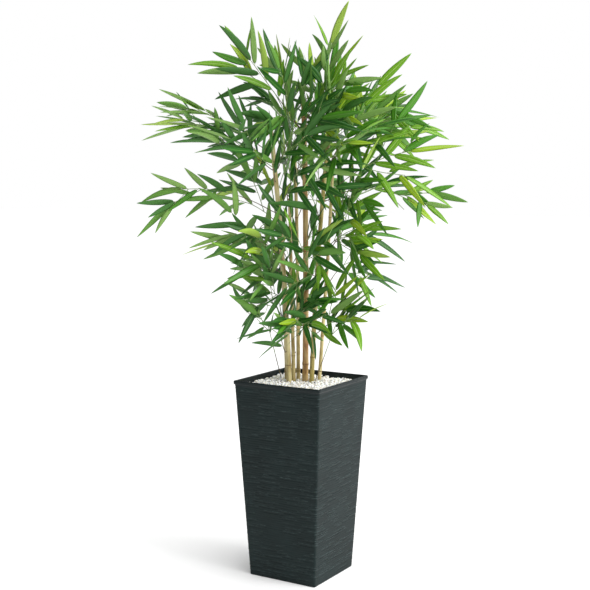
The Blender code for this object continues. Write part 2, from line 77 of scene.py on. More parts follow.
# Its furrows: each is a groove that rises to a ridge, in (share of the pitch, height of the relief).
# They start this far above the underside, end this far under the lip, and fade at both ends.
FURROW_PITCH = 6.0 * MM
FURROW_DEPTH = 1.25 * MM
FURROW_PROFILE = ((0.0, 0.0), (0.35, 0.25), (0.66, 0.75), (0.84, 1.0))
FURROW_START = 5 * MM
FURROW_END = 2.0 * MM
FURROW_FADE = 3 * MM

# They wander up and down in long and short waves, and not all are the same height
FURROW_WAVE = 1.6 * MM
FURROW_WAVE_LENGTH = 50 * MM
SHORT_WAVE = 0.45
SHORT_WAVE_RATE = 1.6
FURROW_SHIFT = 1.1 * MM
FURROW_SHIFT_RATE = 0.8

# Their ridges come and go, each furrow's in its own way: the length of the breaks, how many such
# lengths apart the furrows lie in the noise, how proud the ridges stand, and from how proud on
# the ledge above a ridge gets a painted highlight, a paler resin where light would catch it
FURROW_BREAK_LENGTH = 60 * MM
BREAKS_APART = 3
RIDGE_FAINTEST = 0.12
RIDGE_USUAL = 0.44
RIDGE_SPREAD = 1.6
CREST_HIGHLIGHT = 0.50

# The bed of marble chips, as in the solids
PEBBLE_TOP = 0.508
PEBBLE_DEPTH = 0.030
PEBBLE_MOUND = 0.003

# Its loose chips: a chip's reach is a share of its size, and its bulge and seat are shares of that
CHIP_SEED = 11
CHIP_COUNT = 1450
CHIP_SIZES = (5.5 * MM, 10.5 * MM)
CHIP_FLATS = 8
CHIP_CUTS = (0.52, 0.85)
CHIP_CUT_AWAY = 0.92
CHIP_WIDTHS = (0.65, 0.95)
CHIP_HEIGHTS = (0.5, 0.8)
CHIP_SPOTS = 7
CHIP_REACH = 0.42
CHIP_BULGE = 0.62
CHIP_SEAT = 0.1
CHIP_TILT = 0.5
MARBLE_SHARES = (5, 3, 2)

# How deep the loose chips lie, how deep the gaps between them are, more or less, how far the bed
# keeps off the planter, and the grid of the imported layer
CHIP_LAYER = 7 * MM
GAPS_DEPTH = 3.8 * MM
GAPS_PLAY = 1 * MM
BED_CLEAR = 1 * MM
BED_CELLS = 28

# The canes, as in the solids
CANE_FOOT = PEBBLE_TOP - PEBBLE_DEPTH + GAP
FIRST_JOINT = 0.045
JOINT_SPACING = 0.095
JOINT_GROWTH = 1.05

# Their relief: (mm from the joint, share of the radius, whether it is scar) from below to above,
# and (share of the radius, mm below the top) over the sawn end into the hollow
JOINT_RELIEF = (
    (-9.0, 1.00, 0),
    (-5.0, 1.02, 0),
    (-2.6, 1.07, 0),
    (-1.3, 1.13, 0),
    (-0.9, 1.15, 1),
    (-0.4, 1.05, 1),
    (0.1, 1.05, 1),
    (0.6, 1.13, 1),
    (1.6, 1.16, 0),
    (3.2, 1.10, 0),
    (6.0, 1.03, 0),
    (11.0, 1.00, 0),
)
JOINT_CLEAR = 13 * MM
SAWN_END = ((0.93, 0.0), (0.55, 0.0), (0.50, 0.6), (0.42, 5.0))
END_BEVEL = 0.8 * MM
END_CLEAR = 2 * MM
CANE_SIDES = 22
CANE_STEP = 7 * MM

# The groove above a joint, the kink at it, the culm's unevenness, and the stubs of cut twigs
GROOVE_DEPTH = 0.09
GROOVE_LENGTH = 0.055
GROOVE_NARROWING = 6
KINK_MM = 0.5
KINK_LENGTH = 0.05
UNEVEN = 0.025
UNEVEN_LENGTH = 0.03
UNEVEN_ROUND = 1.3
NO_STUB = 0.45
STUB_ABOVE = 2 * MM
STUB_RISE = (0.6, 1.2)
STUB_THICKNESS = (0.20, 0.32)
STUB_LENGTH = (1.7, 2.6)
STUB_SHARES = (0.6, 1.15, 1.3)
STUB_SWELLS = (1.3, 1.15, 1.0, 0.9)
STUB_SIDES = 8

# The sprays, their twigs and their leaves, as in the solids
NEARLY_UPRIGHT = 0.05
STEM_RADIUS = 0.0020
TWIG_RADIUS = 0.0016
TIP_RADIUS = 0.0012
STEM_STEPS = 4
STEM_TURNS = (0, 6, -6, 12, -12, 20, -20, 30, -30)
STEM_PROBE = 0.05
STEM_COLLAR = 0.004
TWIG_STEPS = 2
TWIG_BARE = 0.2
TWIG_BEND = 0.2
TWIG_ROLL = 15
TWIG_LIFT = (-0.15, 0.25)
TWIG_REACH = (0.60, 0.80)
LEAF_SPACING = 0.027
LEAF_START = 0.6
LEAF_ROLL = 20
LEAF_SPREAD = 24
LEAF_SPREAD_INWARD = 28
LEAF_SPREAD_PLAY = (-8, 10)
LEAF_LIFT = 0.2
LEAF_FALL = -0.10
LEAF_TURN = 30
LEAF_LENGTHS = (0.80, 1.05)
LEAF_SAGS = (0.02, 0.18)
TIP_LEAF_SPREAD = (0, 12)
TIP_LEAF_LENGTHS = (1.00, 1.10)
LEAF_WIDTH = 0.155
LEAF_KEEL = 0.022
LEAF_SHOULDER = 0.36
LEAF_SHOULDER_SAG = 0.2
LEAF_NECK = 0.055
LEAF_SINK = 0.003
LEAF_CLEAR = 0.12
TRIES = 6

# The finer twigs that fill the sprays out: how close they stand, how they leave their twig, how
# long they are beside a leaf, and how far their leaves may pass the box of the spray
FINE_SPACING = 0.068
FINE_PLACES = (0.1, 0.9)
FINE_TRIES = 6
FINE_ROLL = 60
FINE_TURNS = (35, 60)
FINE_LIFT = 0.3
FINE_REACH = (0.30, 0.50)
FINE_RADII = (0.0013, 0.0009)
FINE_BARE = 0.35
FINE_CLEAR = 0.3
FINE_LEAF = 0.78
FINE_SLACK = 0.006

# The wires: how deep a stem sits in its cane, how much of it is bark brown, how thick the wires are
# beside the solids' twigs, at a knot and between knots, and the bare ends of a few stems
STEM_SUNK = 1.5 * MM
STEM_BROWN = 0.55
WIRE_SIDES = 6
WIRE_STEPS = 4
WIRE_SWELLS = (0.74, 0.62, 0.62)
BARE_END = 0.055
BARE_END_LENGTHS = (0.8, 1.2)
BARE_END_LAP = 6 * MM
BARE_END_BEND = 0.16
BARE_END_RADII = (0.55 * MM, 0.5 * MM, 0.45 * MM, 0.4 * MM, 0.3 * MM)
BARE_ENDS = ("top_left", "shoulder_right", "long_left", "long_right", "high_left", "back_9")

# The blade of a leaf: where its points stand, in shares of its length and of its half width
LEAF_STATIONS = (0.05, 0.12, 0.24, 0.38, 0.54, 0.70, 0.84, 0.94)
LEAF_COLUMNS = (-1.0, -0.52, -0.055, 0.055, 0.52, 1.0)

# Its width at a usual length, how slowly that grows with the length, and how the width runs
BLADE_WIDTH = 17.2 * MM
BLADE_LENGTH = 0.11
BLADE_GROWTH = 0.35
BLADE_BROADEST = 0.185
BLADE_WIDTHS = (0.84, 1.10)
BLADE_WIDEST = 0.36
BLADE_BASE = 0.45
BLADE_POINT = BLADE_BASE * (1 - BLADE_WIDEST) / BLADE_WIDEST

# How it is folded along its midrib, arched across, twisted, bowed aside and curved down
BLADE_FOLDS = (0.10, 0.42)
BLADE_ARCHES = (0.05, 0.35)
BLADE_TWIST = 0.5
BLADE_BOW = 0.035
BLADE_DROOP = 1.9

# Its thickness, the midrib's beside it, its stalk, and the scale of its ribs, about 22 across it
LEAF_THICKNESS = 0.35 * MM
LEAF_THINNING = 0.5
MIDRIB_SWELL = 1.7
MIDRIB_COLUMN = 0.1
LEAF_STALK = 0.035
STALK_LAP = 0.02
STALK_WAIST = 0.55
STALK_RADII = (0.9 * MM, 0.6 * MM, 0.45 * MM)
STALK_SIDES = 5
RIB_SCALE = 7.0

Cane = namedtuple("Cane", "name foot top bow radii")
Spray = namedtuple("Spray", "name cane height reach arch roll leaf bare twigs")
Leaf = namedtuple("Leaf", "base along normal length sag key")
Twig = namedtuple("Twig", "name points radii")
Dye = namedtuple("Dye", "name blade roughness underside midrib old young")

# The dyes of the leaves, from old greens to new: the colours of the blade, its underside and its
# midrib, and each dye's share of the leaves in an old, inner spray and in a young, outer one
DYES = (
    Dye("deep", "#1f5a0b", 0.42, "#3b6f27", "#648f42", 0.80, 0.05),
    Dye("mid", "#41800f", 0.42, "#5e8f35", "#648f42", 0.17, 0.32),
    Dye("fresh", "#669a15", 0.45, "#7ba350", "#a4c070", 0.02, 0.46),
    Dye("lime", "#90b31c", 0.48, "#9abb48", "#a4c070", 0.01, 0.17),
)

# How much younger the leaf at a twig's tip is, and a leaf for each metre outside the crown's middle
TIP_YOUTH = 0.25
OUTWARD_YOUTH = 2.6
MIDDLE_REACH = 0.15

# The fresh, warm and stained tones of the canes, and which of them each cane has
CULMS = {
    "straw": ("#dfd29c", "#cbba80", "#a38c54"),
    "honey": ("#d6bb82", "#c29f66", "#9c6c3a"),
    "olive": ("#ccbd7e", "#b3a25a", "#92833f"),
}
CANE_TONES = ("straw", "straw", "straw", "straw", "honey", "olive", "straw")

# The marbles of the chips, each with its veins
MARBLES = (
    ("white_marble", "#fdfcfa", "#e0dbd4"),
    ("warm_marble", "#f8f4ed", "#d8cec0"),
    ("grey_marble", "#eceae6", "#bfbbb5"),
)

# Where faces meet at more than this many degrees, the edge stays crisp
PLANTER_EDGE = 55
CHIP_EDGE = 28
CANE_EDGE = 50

# Matt resin mirrors less than its IOR alone gives. A leaf's underside is the duller side of its cloth.
MATT_GLOSS = 0.22
USUAL_GLOSS = 0.5
FABRIC_IOR = 1.46
UNDERSIDE_ROUGHNESS = 0.60

# The camera of the photograph
CAMERA_PLACE = (1.545, -2.538, 1.033)
CAMERA_AZIMUTH = math.radians(31.67)
CAMERA_PITCH = math.radians(5.647)
CAMERA_LENS = 69.73
CAMERA_SENSOR = 36.0

# The studio: the strength of its white surround, its diffuser, and its softboxes, which face the
# plant at one height: the place (across, toward, height), width and power of each
FLOOR_REACH = 30.0
SURROUND = 0.24
DIFFUSER = 3.5
DIFFUSER_WIDTH = math.radians(70)
DIFFUSER_WAY = (0.25, 0.2, 1.0)
LIT_HEIGHT = 0.85
SOFTBOXES = {
    "key": ((2.4, 1.5, 1.9), 1.4, 62),
    "edge": ((1.9, -2.2, 1.2), 1.6, 22),
}

# The habit of each spray: how young its leaves are, from 0 for the deep old greens to 1 for the
# pale new ones, or more where it is young right to its middle, and how closely its finer twigs
# stand, where 1 is the usual spacing
HABITS = {
    "top": (1.2, 1.0),
    "top_left": (1.5, 0.5),
    "shoulder_left": (0.0, 1.0),
    "shoulder_right": (1.2, 0.9),
    "shoulder_near": (0.0, 1.0),
    "crown_left": (0.0, 1.0),
    "crown_middle": (0.4, 1.2),
    "crown_right": (1.4, 1.0),
    "high_left": (0.6, 0.5),
    "high_left_low": (0.1, 1.0),
    "high_right": (0.8, 0.7),
    "upper_right": (0.4, 1.0),
    "long_left": (0.1, 0.4),
    "long_right": (1.4, 0.5),
    "fan_right": (1.0, 0.2),
    "front_top": (0.1, 1.2),
    "front_top_right": (0.0, 1.2),
    "front_right": (1.4, 1.0),
    "front_left": (0.4, 1.0),
    "front_middle": (0.6, 1.0),
    "middle": (0.6, 1.4),
    "middle_left": (0.9, 0.1),
    "middle_left_near": (0.2, 0.4),
    "middle_right": (1.2, 0.1),
    "hanging_right": (0.9, 1.0),
    "low_left": (0.8, 0.8),
    "low_middle": (0.4, 1.0),
    "low_front": (0.3, 2.2),
    "low_right": (1.3, 0.7),
    "lower_left": (0.8, 0.7),
    "lower_middle": (0.3, 2.6),
    "lower_front": (0.3, 2.6),
    "shoot_left": (0.4, 1.0),
    "shoot_right": (0.4, 1.0),
    "inner_1": (0.4, 0.0),
    "back_4": (0.5, 0.0),
    "back_5": (0.6, 0.2),
    "back_6": (0.5, 0.0),
    "back_7": (0.5, 0.3),
}

# A spray that isn't named there draws its youth by lot, and its finer twigs stand this closely
HIDDEN_CLOSENESS = 0.7

# The openings of the crown, seen from the display side on the plane through the planter's middle:
# across, height, half width, half height
OPEN_SKY = (
    (-0.124, 0.979, 0.041, 0.064),
    (0.115, 0.904, 0.029, 0.044),
    (0.164, 1.336, 0.049, 0.035),
    (-0.010, 1.389, 0.026, 0.035),
    (-0.220, 1.298, 0.056, 0.018),
    (-0.190, 1.255, 0.031, 0.018),
    (0.356, 1.171, 0.033, 0.031),
    (0.236, 0.989, 0.052, 0.021),
    (0.276, 0.935, 0.023, 0.031),
    (-0.306, 0.930, 0.042, 0.036),
    (-0.203, 0.818, 0.042, 0.018),
    (-0.096, 0.700, 0.024, 0.039),
    (-0.162, 0.689, 0.037, 0.026),
    (0.205, 0.668, 0.052, 0.018),
    (0.233, 0.755, 0.031, 0.029),
    (-0.065, 0.985, 0.013, 0.100),
    (-0.002, 0.947, 0.021, 0.073),
    (0.055, 0.999, 0.018, 0.114),
)

# foot is (across, toward), top is (across, toward, height), radii are at the foot and the top.
CANES = (
    Cane("cane_1", (-0.040, -0.045), (-0.056, -0.070, 0.86), 0.002, (0.0040, 0.0030)),
    Cane("cane_2", (-0.032, -0.013), (-0.083, 0.020, 1.20), 0.007, (0.0076, 0.0056)),
    Cane("cane_3", (-0.020, -0.022), (-0.032, -0.050, 0.99), 0.000, (0.0054, 0.0042)),
    Cane("cane_4", (-0.009, -0.050), (-0.018, -0.075, 1.10), 0.003, (0.0054, 0.0044)),
    Cane("cane_5", (0.009, -0.030), (0.004, -0.020, 1.24), 0.004, (0.0082, 0.0062)),
    Cane("cane_6", (0.025, -0.006), (0.072, 0.022, 1.19), -0.006, (0.0064, 0.0050)),
    Cane("cane_7", (0.045, -0.045), (0.083, -0.060, 1.08), 0.002, (0.0050, 0.0040)),
)
BED = "bed"

# One row for each spray that shows from the display side: the cane it grows on and the height of
# its root there, its stem's reach (across, toward, rise) from the root to the last leaf, how far
# the stem arches above the straight line, how far its fan of leaves is turned up out of the
# level, in degrees, its leaf length, how much of the stem is bare, and its side twigs, each as
# its place on the stem and its angle to it, in degrees, below the stem if that is positive.
# A root on the bed is given as (across, toward).
FORK = ((0.4, 50), (0.55, -50))
RAISED_FORK = ((0.4, -50), (0.55, 50))
HIGH_FORK = ((0.45, -35), (0.6, 35))
LOW_FORK = ((0.45, 35), (0.6, -35))
WIDE_FORK = ((0.3, 50), (0.45, -50), (0.65, 45))
TOP_FORK = ((0.3, -50), (0.5, 45), (0.75, -25))
FAR_FORK = ((0.5, 50), (0.65, -50))
END_FORK = ((0.75, 35), (0.88, -30))
DISPLAY_SPRAYS = (
    Spray("top", "cane_5", 1.2, (0.075, 0.02, 0.115), 0.0, 75, 0.13, 0.3, TOP_FORK),
    Spray("top_left", "cane_5", 1.175, (-0.135, 0.03, 0.165), 0.0, 85, 0.13, 0.4, ((0.35, -50), (0.6, 25))),
    Spray("shoulder_left", "cane_5", 1.14, (-0.085, -0.02, 0.105), 0.0, 60, 0.105, 0.3, FORK),
    Spray("shoulder_right", "cane_6", 1.15, (0.155, -0.02, 0.07), 0.01, 80, 0.13, 0.4, HIGH_FORK),
    Spray("crown_left", "cane_5", 1.165, (-0.06, 0.07, 0.035), 0.01, 75, 0.13, 0.3, FORK),
    Spray("crown_right", "cane_5", 1.12, (0.065, 0.07, 0.145), 0.01, 75, 0.13, 0.3, WIDE_FORK),
    Spray("high_left", "cane_2", 1.11, (-0.205, 0.035, 0.065), 0.02, 15, 0.13, 0.4, HIGH_FORK),
    Spray("high_left_low", "cane_2", 1.065, (-0.115, 0.075, 0.075), 0.0, 30, 0.12, 0.4, HIGH_FORK),
    Spray("high_right", "cane_6", 1.0, (0.215, 0.055, 0.11), 0.02, 60, 0.135, 0.45, FAR_FORK),
    Spray("long_left", "cane_2", 0.955, (-0.245, 0.04, 0.06), 0.02, 80, 0.105, 0.5, ((0.6, 50), (0.8, 30))),
    Spray("long_right", "cane_6", 0.985, (0.215, 0.035, 0.005), 0.03, 70, 0.095, 0.55, END_FORK),
    Spray("fan_right", "cane_7", 0.975, (0.08, 0.155, 0.005), 0.02, 60, 0.13, 0.4, RAISED_FORK),
    Spray("front_top", "cane_2", 1.07, (0.065, 0.045, 0.125), 0.01, 78, 0.135, 0.2, WIDE_FORK),
    Spray("front_top_right", "cane_6", 1.12, (-0.005, 0.04, 0.115), 0.0, 75, 0.135, 0.2, WIDE_FORK),
    Spray("front_right", "cane_6", 1.06, (0.055, 0.115, 0.07), 0.02, 40, 0.14, 0.3, FORK),
    Spray("front_left", "cane_2", 0.975, (0.07, 0.05, 0.11), 0.01, 80, 0.135, 0.2, WIDE_FORK),
    Spray("front_middle", "cane_6", 0.94, (-0.03, 0.05, 0.06), 0.01, 78, 0.14, 0.2, WIDE_FORK),
    Spray("middle_left", "cane_2", 0.85, (-0.12, 0.035, 0.05), 0.01, 60, 0.12, 0.4, LOW_FORK),
    Spray("middle_left_near", "cane_2", 0.9, (-0.065, 0.075, -0.005), 0.03, 70, 0.1, 0.4, ((0.4, 50),)),
    Spray("middle_right", "cane_6", 0.85, (0.095, 0.06, 0.065), 0.01, 60, 0.125, 0.4, RAISED_FORK),
    Spray("hanging_right", "cane_7", 0.855, (0.055, 0.085, 0.02), 0.02, 80, 0.125, 0.4, FORK),
    Spray("low_left", "cane_2", 0.8, (-0.08, 0.07, 0.04), 0.0, 60, 0.13, 0.1, ((0.3, 25), (0.5, -50))),
    Spray("low_middle", "cane_2", 0.735, (-0.045, 0.05, 0.02), 0.0, 70, 0.11, 0.1, FORK),
    Spray("low_front", "cane_6", 0.79, (-0.03, 0.045, 0.015), 0.0, 78, 0.125, 0.1, FORK),
    Spray("low_right", "cane_6", 0.64, (0.08, 0.06, 0.065), 0.0, 60, 0.13, 0.1, ((0.4, -50), (0.5, 35))),
    Spray("lower_left", "cane_2", 0.59, (-0.03, 0.04, 0.08), 0.0, 60, 0.12, 0.1, HIGH_FORK),
    Spray("lower_middle", "cane_2", 0.655, (0.045, 0.05, 0.05), 0.0, 78, 0.11, 0.1, FORK),
    Spray("lower_front", "cane_6", 0.665, (-0.02, 0.045, 0.02), 0.0, 78, 0.11, 0.2, FORK),
    Spray("middle", "cane_2", 0.79, (0.07, 0.06, 0.105), 0.01, 80, 0.135, 0.2, WIDE_FORK),
    Spray("crown_middle", "cane_5", 1.18, (0.02, 0.06, 0.065), 0.0, 80, 0.12, 0.1, FORK),
    Spray("shoulder_near", "cane_2", 1.035, (-0.01, 0.05, 0.09), 0.0, 75, 0.12, 0.1, FORK),
    Spray("upper_right", "cane_6", 1.085, (0.135, 0.03, 0.09), 0.01, 40, 0.13, 0.4, FORK),
    Spray("shoot_left", BED, (-0.055, -0.04), (-0.035, 0.045, 0.16), 0.0, 70, 0.075, 0.75, ((0.85, 40),)),
    Spray("shoot_right", BED, (0.035, 0.02), (0.055, 0.02, 0.165), 0.0, 60, 0.1, 0.7, ((0.8, 45),)),
)

# The sides and back, which the display side hides, are filled by a rule. The outer sprays climb
# the canes that stand there and turn by an even step, and reach as far as the crown is wide at
# that height. The canes are named from the left, as seen from the display side.
BACK_CANES = ("cane_1", "cane_3", "cane_4", "cane_7")
BACK_COUNT = 10
BACK_LOWEST = 0.68
BACK_HIGHEST = 1.07
BACK_TURN = math.radians(62)
BACK_ARC = math.radians(140)
BACK_BARE = 0.4
BACK_ARCH = 0.015
BACK_ROLL = 55
BACK_RISE = 0.03
BACK_RISE_GAIN = 0.10
BACK_LEAF = 0.115
BACK_LEAF_GAIN = 0.025
CANE_END = 0.02
CROWN_WIDEST = 1.05
CROWN_REACH = 0.22
CROWN_NARROWING = 0.78
CROWN_HALF_HEIGHT = 0.4

# The inner sprays, short and leafy from near their roots, close the crown between its front and
# its back: the cane, the height of the root and the reach (across, toward, rise).
INNER_SPRAYS = (
    ("cane_3", 0.78, (-0.08, -0.05, 0.06)),
    ("cane_7", 0.95, (0.07, -0.04, 0.09)),
)
INNER_LEAF = 0.125
LEAFY_BARE = 0.1

# A last spray grows nearly straight up from the top of each of those canes, with this reach,
# to the side on which the cane stands.
TIP_REACH = (0.02, -0.03, 0.15)
TIP_BELOW = 0.012
TIP_ROLL = 60
TIP_LEAF = 0.13


def crown_reach(height):
    """How far stems reach at this height: the crown is a top shape, widest two thirds up."""
    return CROWN_REACH * (1 - CROWN_NARROWING * abs(height - CROWN_WIDEST) / CROWN_HALF_HEIGHT)


def cane_named(name):
    """The cane of this name."""
    return next(cane for cane in CANES if cane.name == name)


def back_cane(share, height):
    """The cane nearest a place this far round the back that is tall enough, or else the tallest."""
    first = int(share * len(BACK_CANES))
    nearest = [cane_named(name) for name in BACK_CANES[first:]]
    tall = [cane for cane in nearest if cane.top[2] - CANE_END > height]
    return tall[0] if tall else max(map(cane_named, BACK_CANES), key=lambda cane: cane.top[2])


def back_sprays():
    """The sprays of the sides and back."""
    sprays = []
    for i in range(BACK_COUNT):
        share = i / (BACK_COUNT - 1)
        height = BACK_LOWEST + (BACK_HIGHEST - BACK_LOWEST) * share
        turn = (i * BACK_TURN) % BACK_ARC
        cane = back_cane(turn / BACK_ARC, height)
        bearing = math.pi + (math.pi - BACK_ARC) / 2 + turn
        reach = crown_reach(height)
        rise = BACK_RISE + BACK_RISE_GAIN * share
        spread = (reach * math.cos(bearing), reach * math.sin(bearing), rise)
        leaf = BACK_LEAF + BACK_LEAF_GAIN * share
        habit = (BACK_ARCH, BACK_ROLL, leaf, BACK_BARE, FORK)
        sprays.append(Spray(f"back_{i + 1}", cane.name, height, spread, *habit))
    for i, (name, height, spread) in enumerate(INNER_SPRAYS):
        habit = (0.0, BACK_ROLL, INNER_LEAF, LEAFY_BARE, FORK)
        sprays.append(Spray(f"inner_{i + 1}", name, height, spread, *habit))
    for name in BACK_CANES:
        cane = cane_named(name)
        spread = (math.copysign(TIP_REACH[0], cane.top[0]), *TIP_REACH[1:])
        root = cane.top[2] - TIP_BELOW
        habit = (0.0, TIP_ROLL, TIP_LEAF, LEAFY_BARE, FORK)
        sprays.append(Spray(f"tip_{name[5:]}", name, root, spread, *habit))
    return sprays


def seen(across, toward, height):
    """A place on the plant, in the planter's own axes."""
    right = Vector((math.cos(DISPLAY_TURN), math.sin(DISPLAY_TURN), 0.0))
    nearer = Vector((math.sin(DISPLAY_TURN), -math.cos(DISPLAY_TURN), 0.0))
    return right * across + nearer * toward + Vector((0.0, 0.0, height))


def heading(turn, rise=0.0):
    """A level way at this turn from the planter's first axis, lifted by rise."""
    return Vector((math.cos(turn), math.sin(turn), rise))


def between(ends, share):
    """The value at this share of the way from the first end to the second."""
    return ends[0] + (ends[1] - ends[0]) * share


def colour(code):
    """An sRGB hex value as a linear colour."""
    shares = [int(code[i : i + 2], 16) / 255 for i in (1, 3, 5)]
    linear = [c / 12.92 if c <= 0.04045 else ((c + 0.055) / 1.055) ** 2.4 for c in shares]
    return (*linear, 1.0)


def add(tree, kind, inputs=(), into=None, stops=(), **settings):
    """Adds a shader node with its settings and links. Each input is a value, or another node's socket
    to link. The node's first output goes into a socket. A ramp has stops: (place, colour)."""
    made = tree.nodes.new("ShaderNode" + kind)
    for name, value in settings.items():
        setattr(made, name, value)
    for name, value in dict(inputs).items():
        if isinstance(value, bpy.types.NodeSocket):
            tree.links.new(value, made.inputs[name])
        else:
            made.inputs[name].default_value = value
    for i, (place, code) in enumerate(stops):
        marks = made.color_ramp.elements
        mark = marks[i] if i < len(marks) else marks.new(place)
        mark.position, mark.color = place, colour(code)
    if into:
        tree.links.new(made.outputs[0], into)
    return made


def start_finish(name, base, roughness, ior, gloss=USUAL_GLOSS):
    """A new Principled material: its tree, the sockets of its shader, and itself."""
    material = bpy.data.materials.new(name)
    material.use_nodes = True
    sockets = material.node_tree.nodes["Principled BSDF"].inputs
    sockets["Base Color"].default_value = colour(base)
    sockets["Roughness"].default_value = roughness
    sockets["IOR"].default_value = ior
    sockets["Specular IOR Level"].default_value = gloss
    return material.node_tree, sockets, material


def put_in_scene(name, data):
    """A new object in the scene, with this mesh, light or camera."""
    made = bpy.data.objects.new(name, data)
    bpy.context.scene.collection.objects.link(made)
    return made


class Gathered:
    """Many small closed shapes gathered into the mesh of one piece."""

    def __init__(self, name, slot, *finishes):
        self.name = name
        self.slot = slot
        self.finishes = finishes
        self.points, self.faces, self.picks, self.places = [], [], [], []

    def add(self, points, faces, pick=0, places=None):
        """Adds a shape in one finish, or with a finish for each face, and its places on the pattern."""
        offset = len(self.points)
        self.points.extend(points)
        self.faces.extend([offset + i for i in face] for face in faces)
        self.picks.extend([pick] * len(faces) if isinstance(pick, int) else pick)
        self.places.extend(places or [(0.0, 0.0)] * len(points))

    def as_piece(self, nodes, sharp=None):
        """Makes the piece, which rides with the plant and stands for these nodes."""
        mesh = bpy.data.meshes.new(self.name)
        mesh.from_pydata([tuple(point) for point in self.points], [], self.faces)
        for material in self.finishes:
            mesh.materials.append(material)
        mesh.polygons.foreach_set("material_index", self.picks)
        layer = mesh.uv_layers.new(name="pattern")
        corners = [self.places[loop.vertex_index] for loop in mesh.loops]
        layer.data.foreach_set("uv", [value for place in corners for value in place])
        mesh.shade_smooth()
        if sharp is not None:
            mesh.set_sharp_from_angle(angle=math.radians(sharp))
        piece = put_in_scene(self.name, mesh)
        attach(piece, "root")
        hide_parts(*nodes)


def closed(rings):
    """The points and faces of a closed form through rings of points. A last ring of one is a tip."""
    points = [point for ring in rings for point in ring]
    sides = len(rings[0])
    last = (len(points) // sides - 1) * sides
    faces = []
    for start in range(0, last, sides):
        for i in range(sides):
            j = (i + 1) % sides
            faces.append((start + i, start + j, start + sides + j, start + sides + i))
    faces.append(tuple(reversed(range(sides))))
    if len(rings[-1]) == 1:
        faces.extend((last + i, last + (i + 1) % sides, last + sides) for i in range(sides))
    else:
        faces.append(tuple(range(last, last + sides)))
    return points, faces


def lengthwise(points):
    """Directions along a line through points, one at each point."""
    ends = [points[0], *points, points[-1]]
    return [(after - before).normalized() for before, after in zip(ends, ends[2:])]


def rod(points, radii, sides, cut=True):
    """A closed round rod through points: its points, its faces. Its end is cut flat or drawn to a tip."""
    rings = []
    tangents = lengthwise(points)
    level = tangents[0].orthogonal().normalized()
    for point, tangent, radius in zip(points, tangents, radii):
        level = (level - tangent * level.dot(tangent)).normalized()
        across = tangent.cross(level)
        turns = [2 * math.pi * i / sides for i in range(sides)]
        rings.append([point + (level * math.cos(t) + across * math.sin(t)) * radius for t in turns])
    if not cut:
        rings.append([points[-1] + tangents[-1] * radii[-1]])
    return closed(rings)


def flowing(points, steps):
    """A smooth line through points, with this many steps between each two."""
    ends = [points[0] * 2 - points[1], *points, points[-1] * 2 - points[-2]]
    line = []
    for a, b, c, d in zip(ends, ends[1:], ends[2:], ends[3:]):
        for step in range(steps):
            t = step / steps
            curve = 2 * b + (c - a) * t
            curve = curve + (2 * a - 5 * b + 4 * c - d) * t**2
            curve = curve + (3 * b - a - 3 * c + d) * t**3
            line.append(0.5 * curve)
    return [*line, points[-1]]


# Finishes of the planter and what fills it


def furrowed_resin():
    """Polypropylene, injection moulded in anthracite with a furrowed grain: matt, a little cool.

    The mould's spark grain breaks up its gloss, and fine dust greys it in soft patches.
    """
    tree, sockets, material = start_finish("furrowed_resin", "#0e1e1e", 0.55, 1.49, MATT_GLOSS)
    place = add(tree, "TexCoord").outputs["Object"]
    dust = add(tree, "TexNoise", {"Vector": place, "Scale": 1 / (70 * MM), "Detail": 3.0})
    tones = ((0.35, "#0b1a1a"), (0.70, "#122222"))
    add(tree, "ValToRGB", {"Fac": dust.outputs["Fac"]}, sockets["Base Color"], tones)
    grain = add(tree, "TexNoise", {"Vector": place, "Scale": 1 / (0.7 * MM), "Detail": 2.0})
    pits = {"Height": grain.outputs["Fac"], "Strength": 0.18, "Distance": 0.1 * MM}
    add(tree, "Bump", pits, sockets["Normal"])
    return material


def smooth_resin():
    """The same resin where the mould was left smooth, on the lip and inside: a soft satin edge."""
    tree, sockets, material = start_finish("smooth_resin", "#131d1e", 0.42, 1.49, MATT_GLOSS)
    place = add(tree, "TexCoord").outputs["Object"]
    haze = add(tree, "TexNoise", {"Vector": place, "Scale": 1 / (12 * MM), "Detail": 4.0})
    satin = {"Value": haze.outputs["Fac"], "To Min": 0.36, "To Max": 0.52}
    add(tree, "MapRange", satin, sockets["Roughness"])
    return material


def rubbed_resin():
    """The same resin on the furrows' upper ledges, painted paler: a painted highlight in broken lines."""
    tree, sockets, material = start_finish("rubbed_resin", "#273333", 0.60, 1.49, MATT_GLOSS)
    place = add(tree, "TexCoord").outputs["Object"]
    highlight_patches = add(tree, "TexNoise", {"Vector": place, "Scale": 1 / (9 * MM), "Detail": 3.0})
    # Painted highlight: paler tones in patches along the lit ledges
    tones = ((0.35, "#1b2727"), (0.62, "#374444"))
    add(tree, "ValToRGB", {"Fac": highlight_patches.outputs["Fac"]}, sockets["Base Color"], tones)
    return material


def marble(name, base, vein):
    """Crushed and tumbled white marble: matt chips with a sugary grain and faint grey veins.

    Light goes a few millimetres into the crystals, which softens the shade between the chips.
    """
    tree, sockets, material = start_finish(name, base, 0.55, 1.50)
    sockets["Subsurface Weight"].default_value = 0.4
    sockets["Subsurface Radius"].default_value = (1.0, 0.9, 0.75)
    sockets["Subsurface Scale"].default_value = 3 * MM
    place = add(tree, "TexCoord").outputs["Object"]
    drift = {"Vector": place, "Scale": 1 / (7 * MM), "Detail": 6.0, "Distortion": 1.5}
    veins = add(tree, "TexNoise", drift)
    tones = ((0.27, vein), (0.44, base))
    add(tree, "ValToRGB", {"Fac": veins.outputs["Fac"]}, sockets["Base Color"], tones)
    sugar = add(tree, "TexNoise", {"Vector": place, "Scale": 1 / (0.7 * MM), "Detail": 2.0})
    grain = {"Height": sugar.outputs["Fac"], "Strength": 0.5, "Distance": 0.2 * MM}
    add(tree, "Bump", grain, sockets["Normal"])
    return material


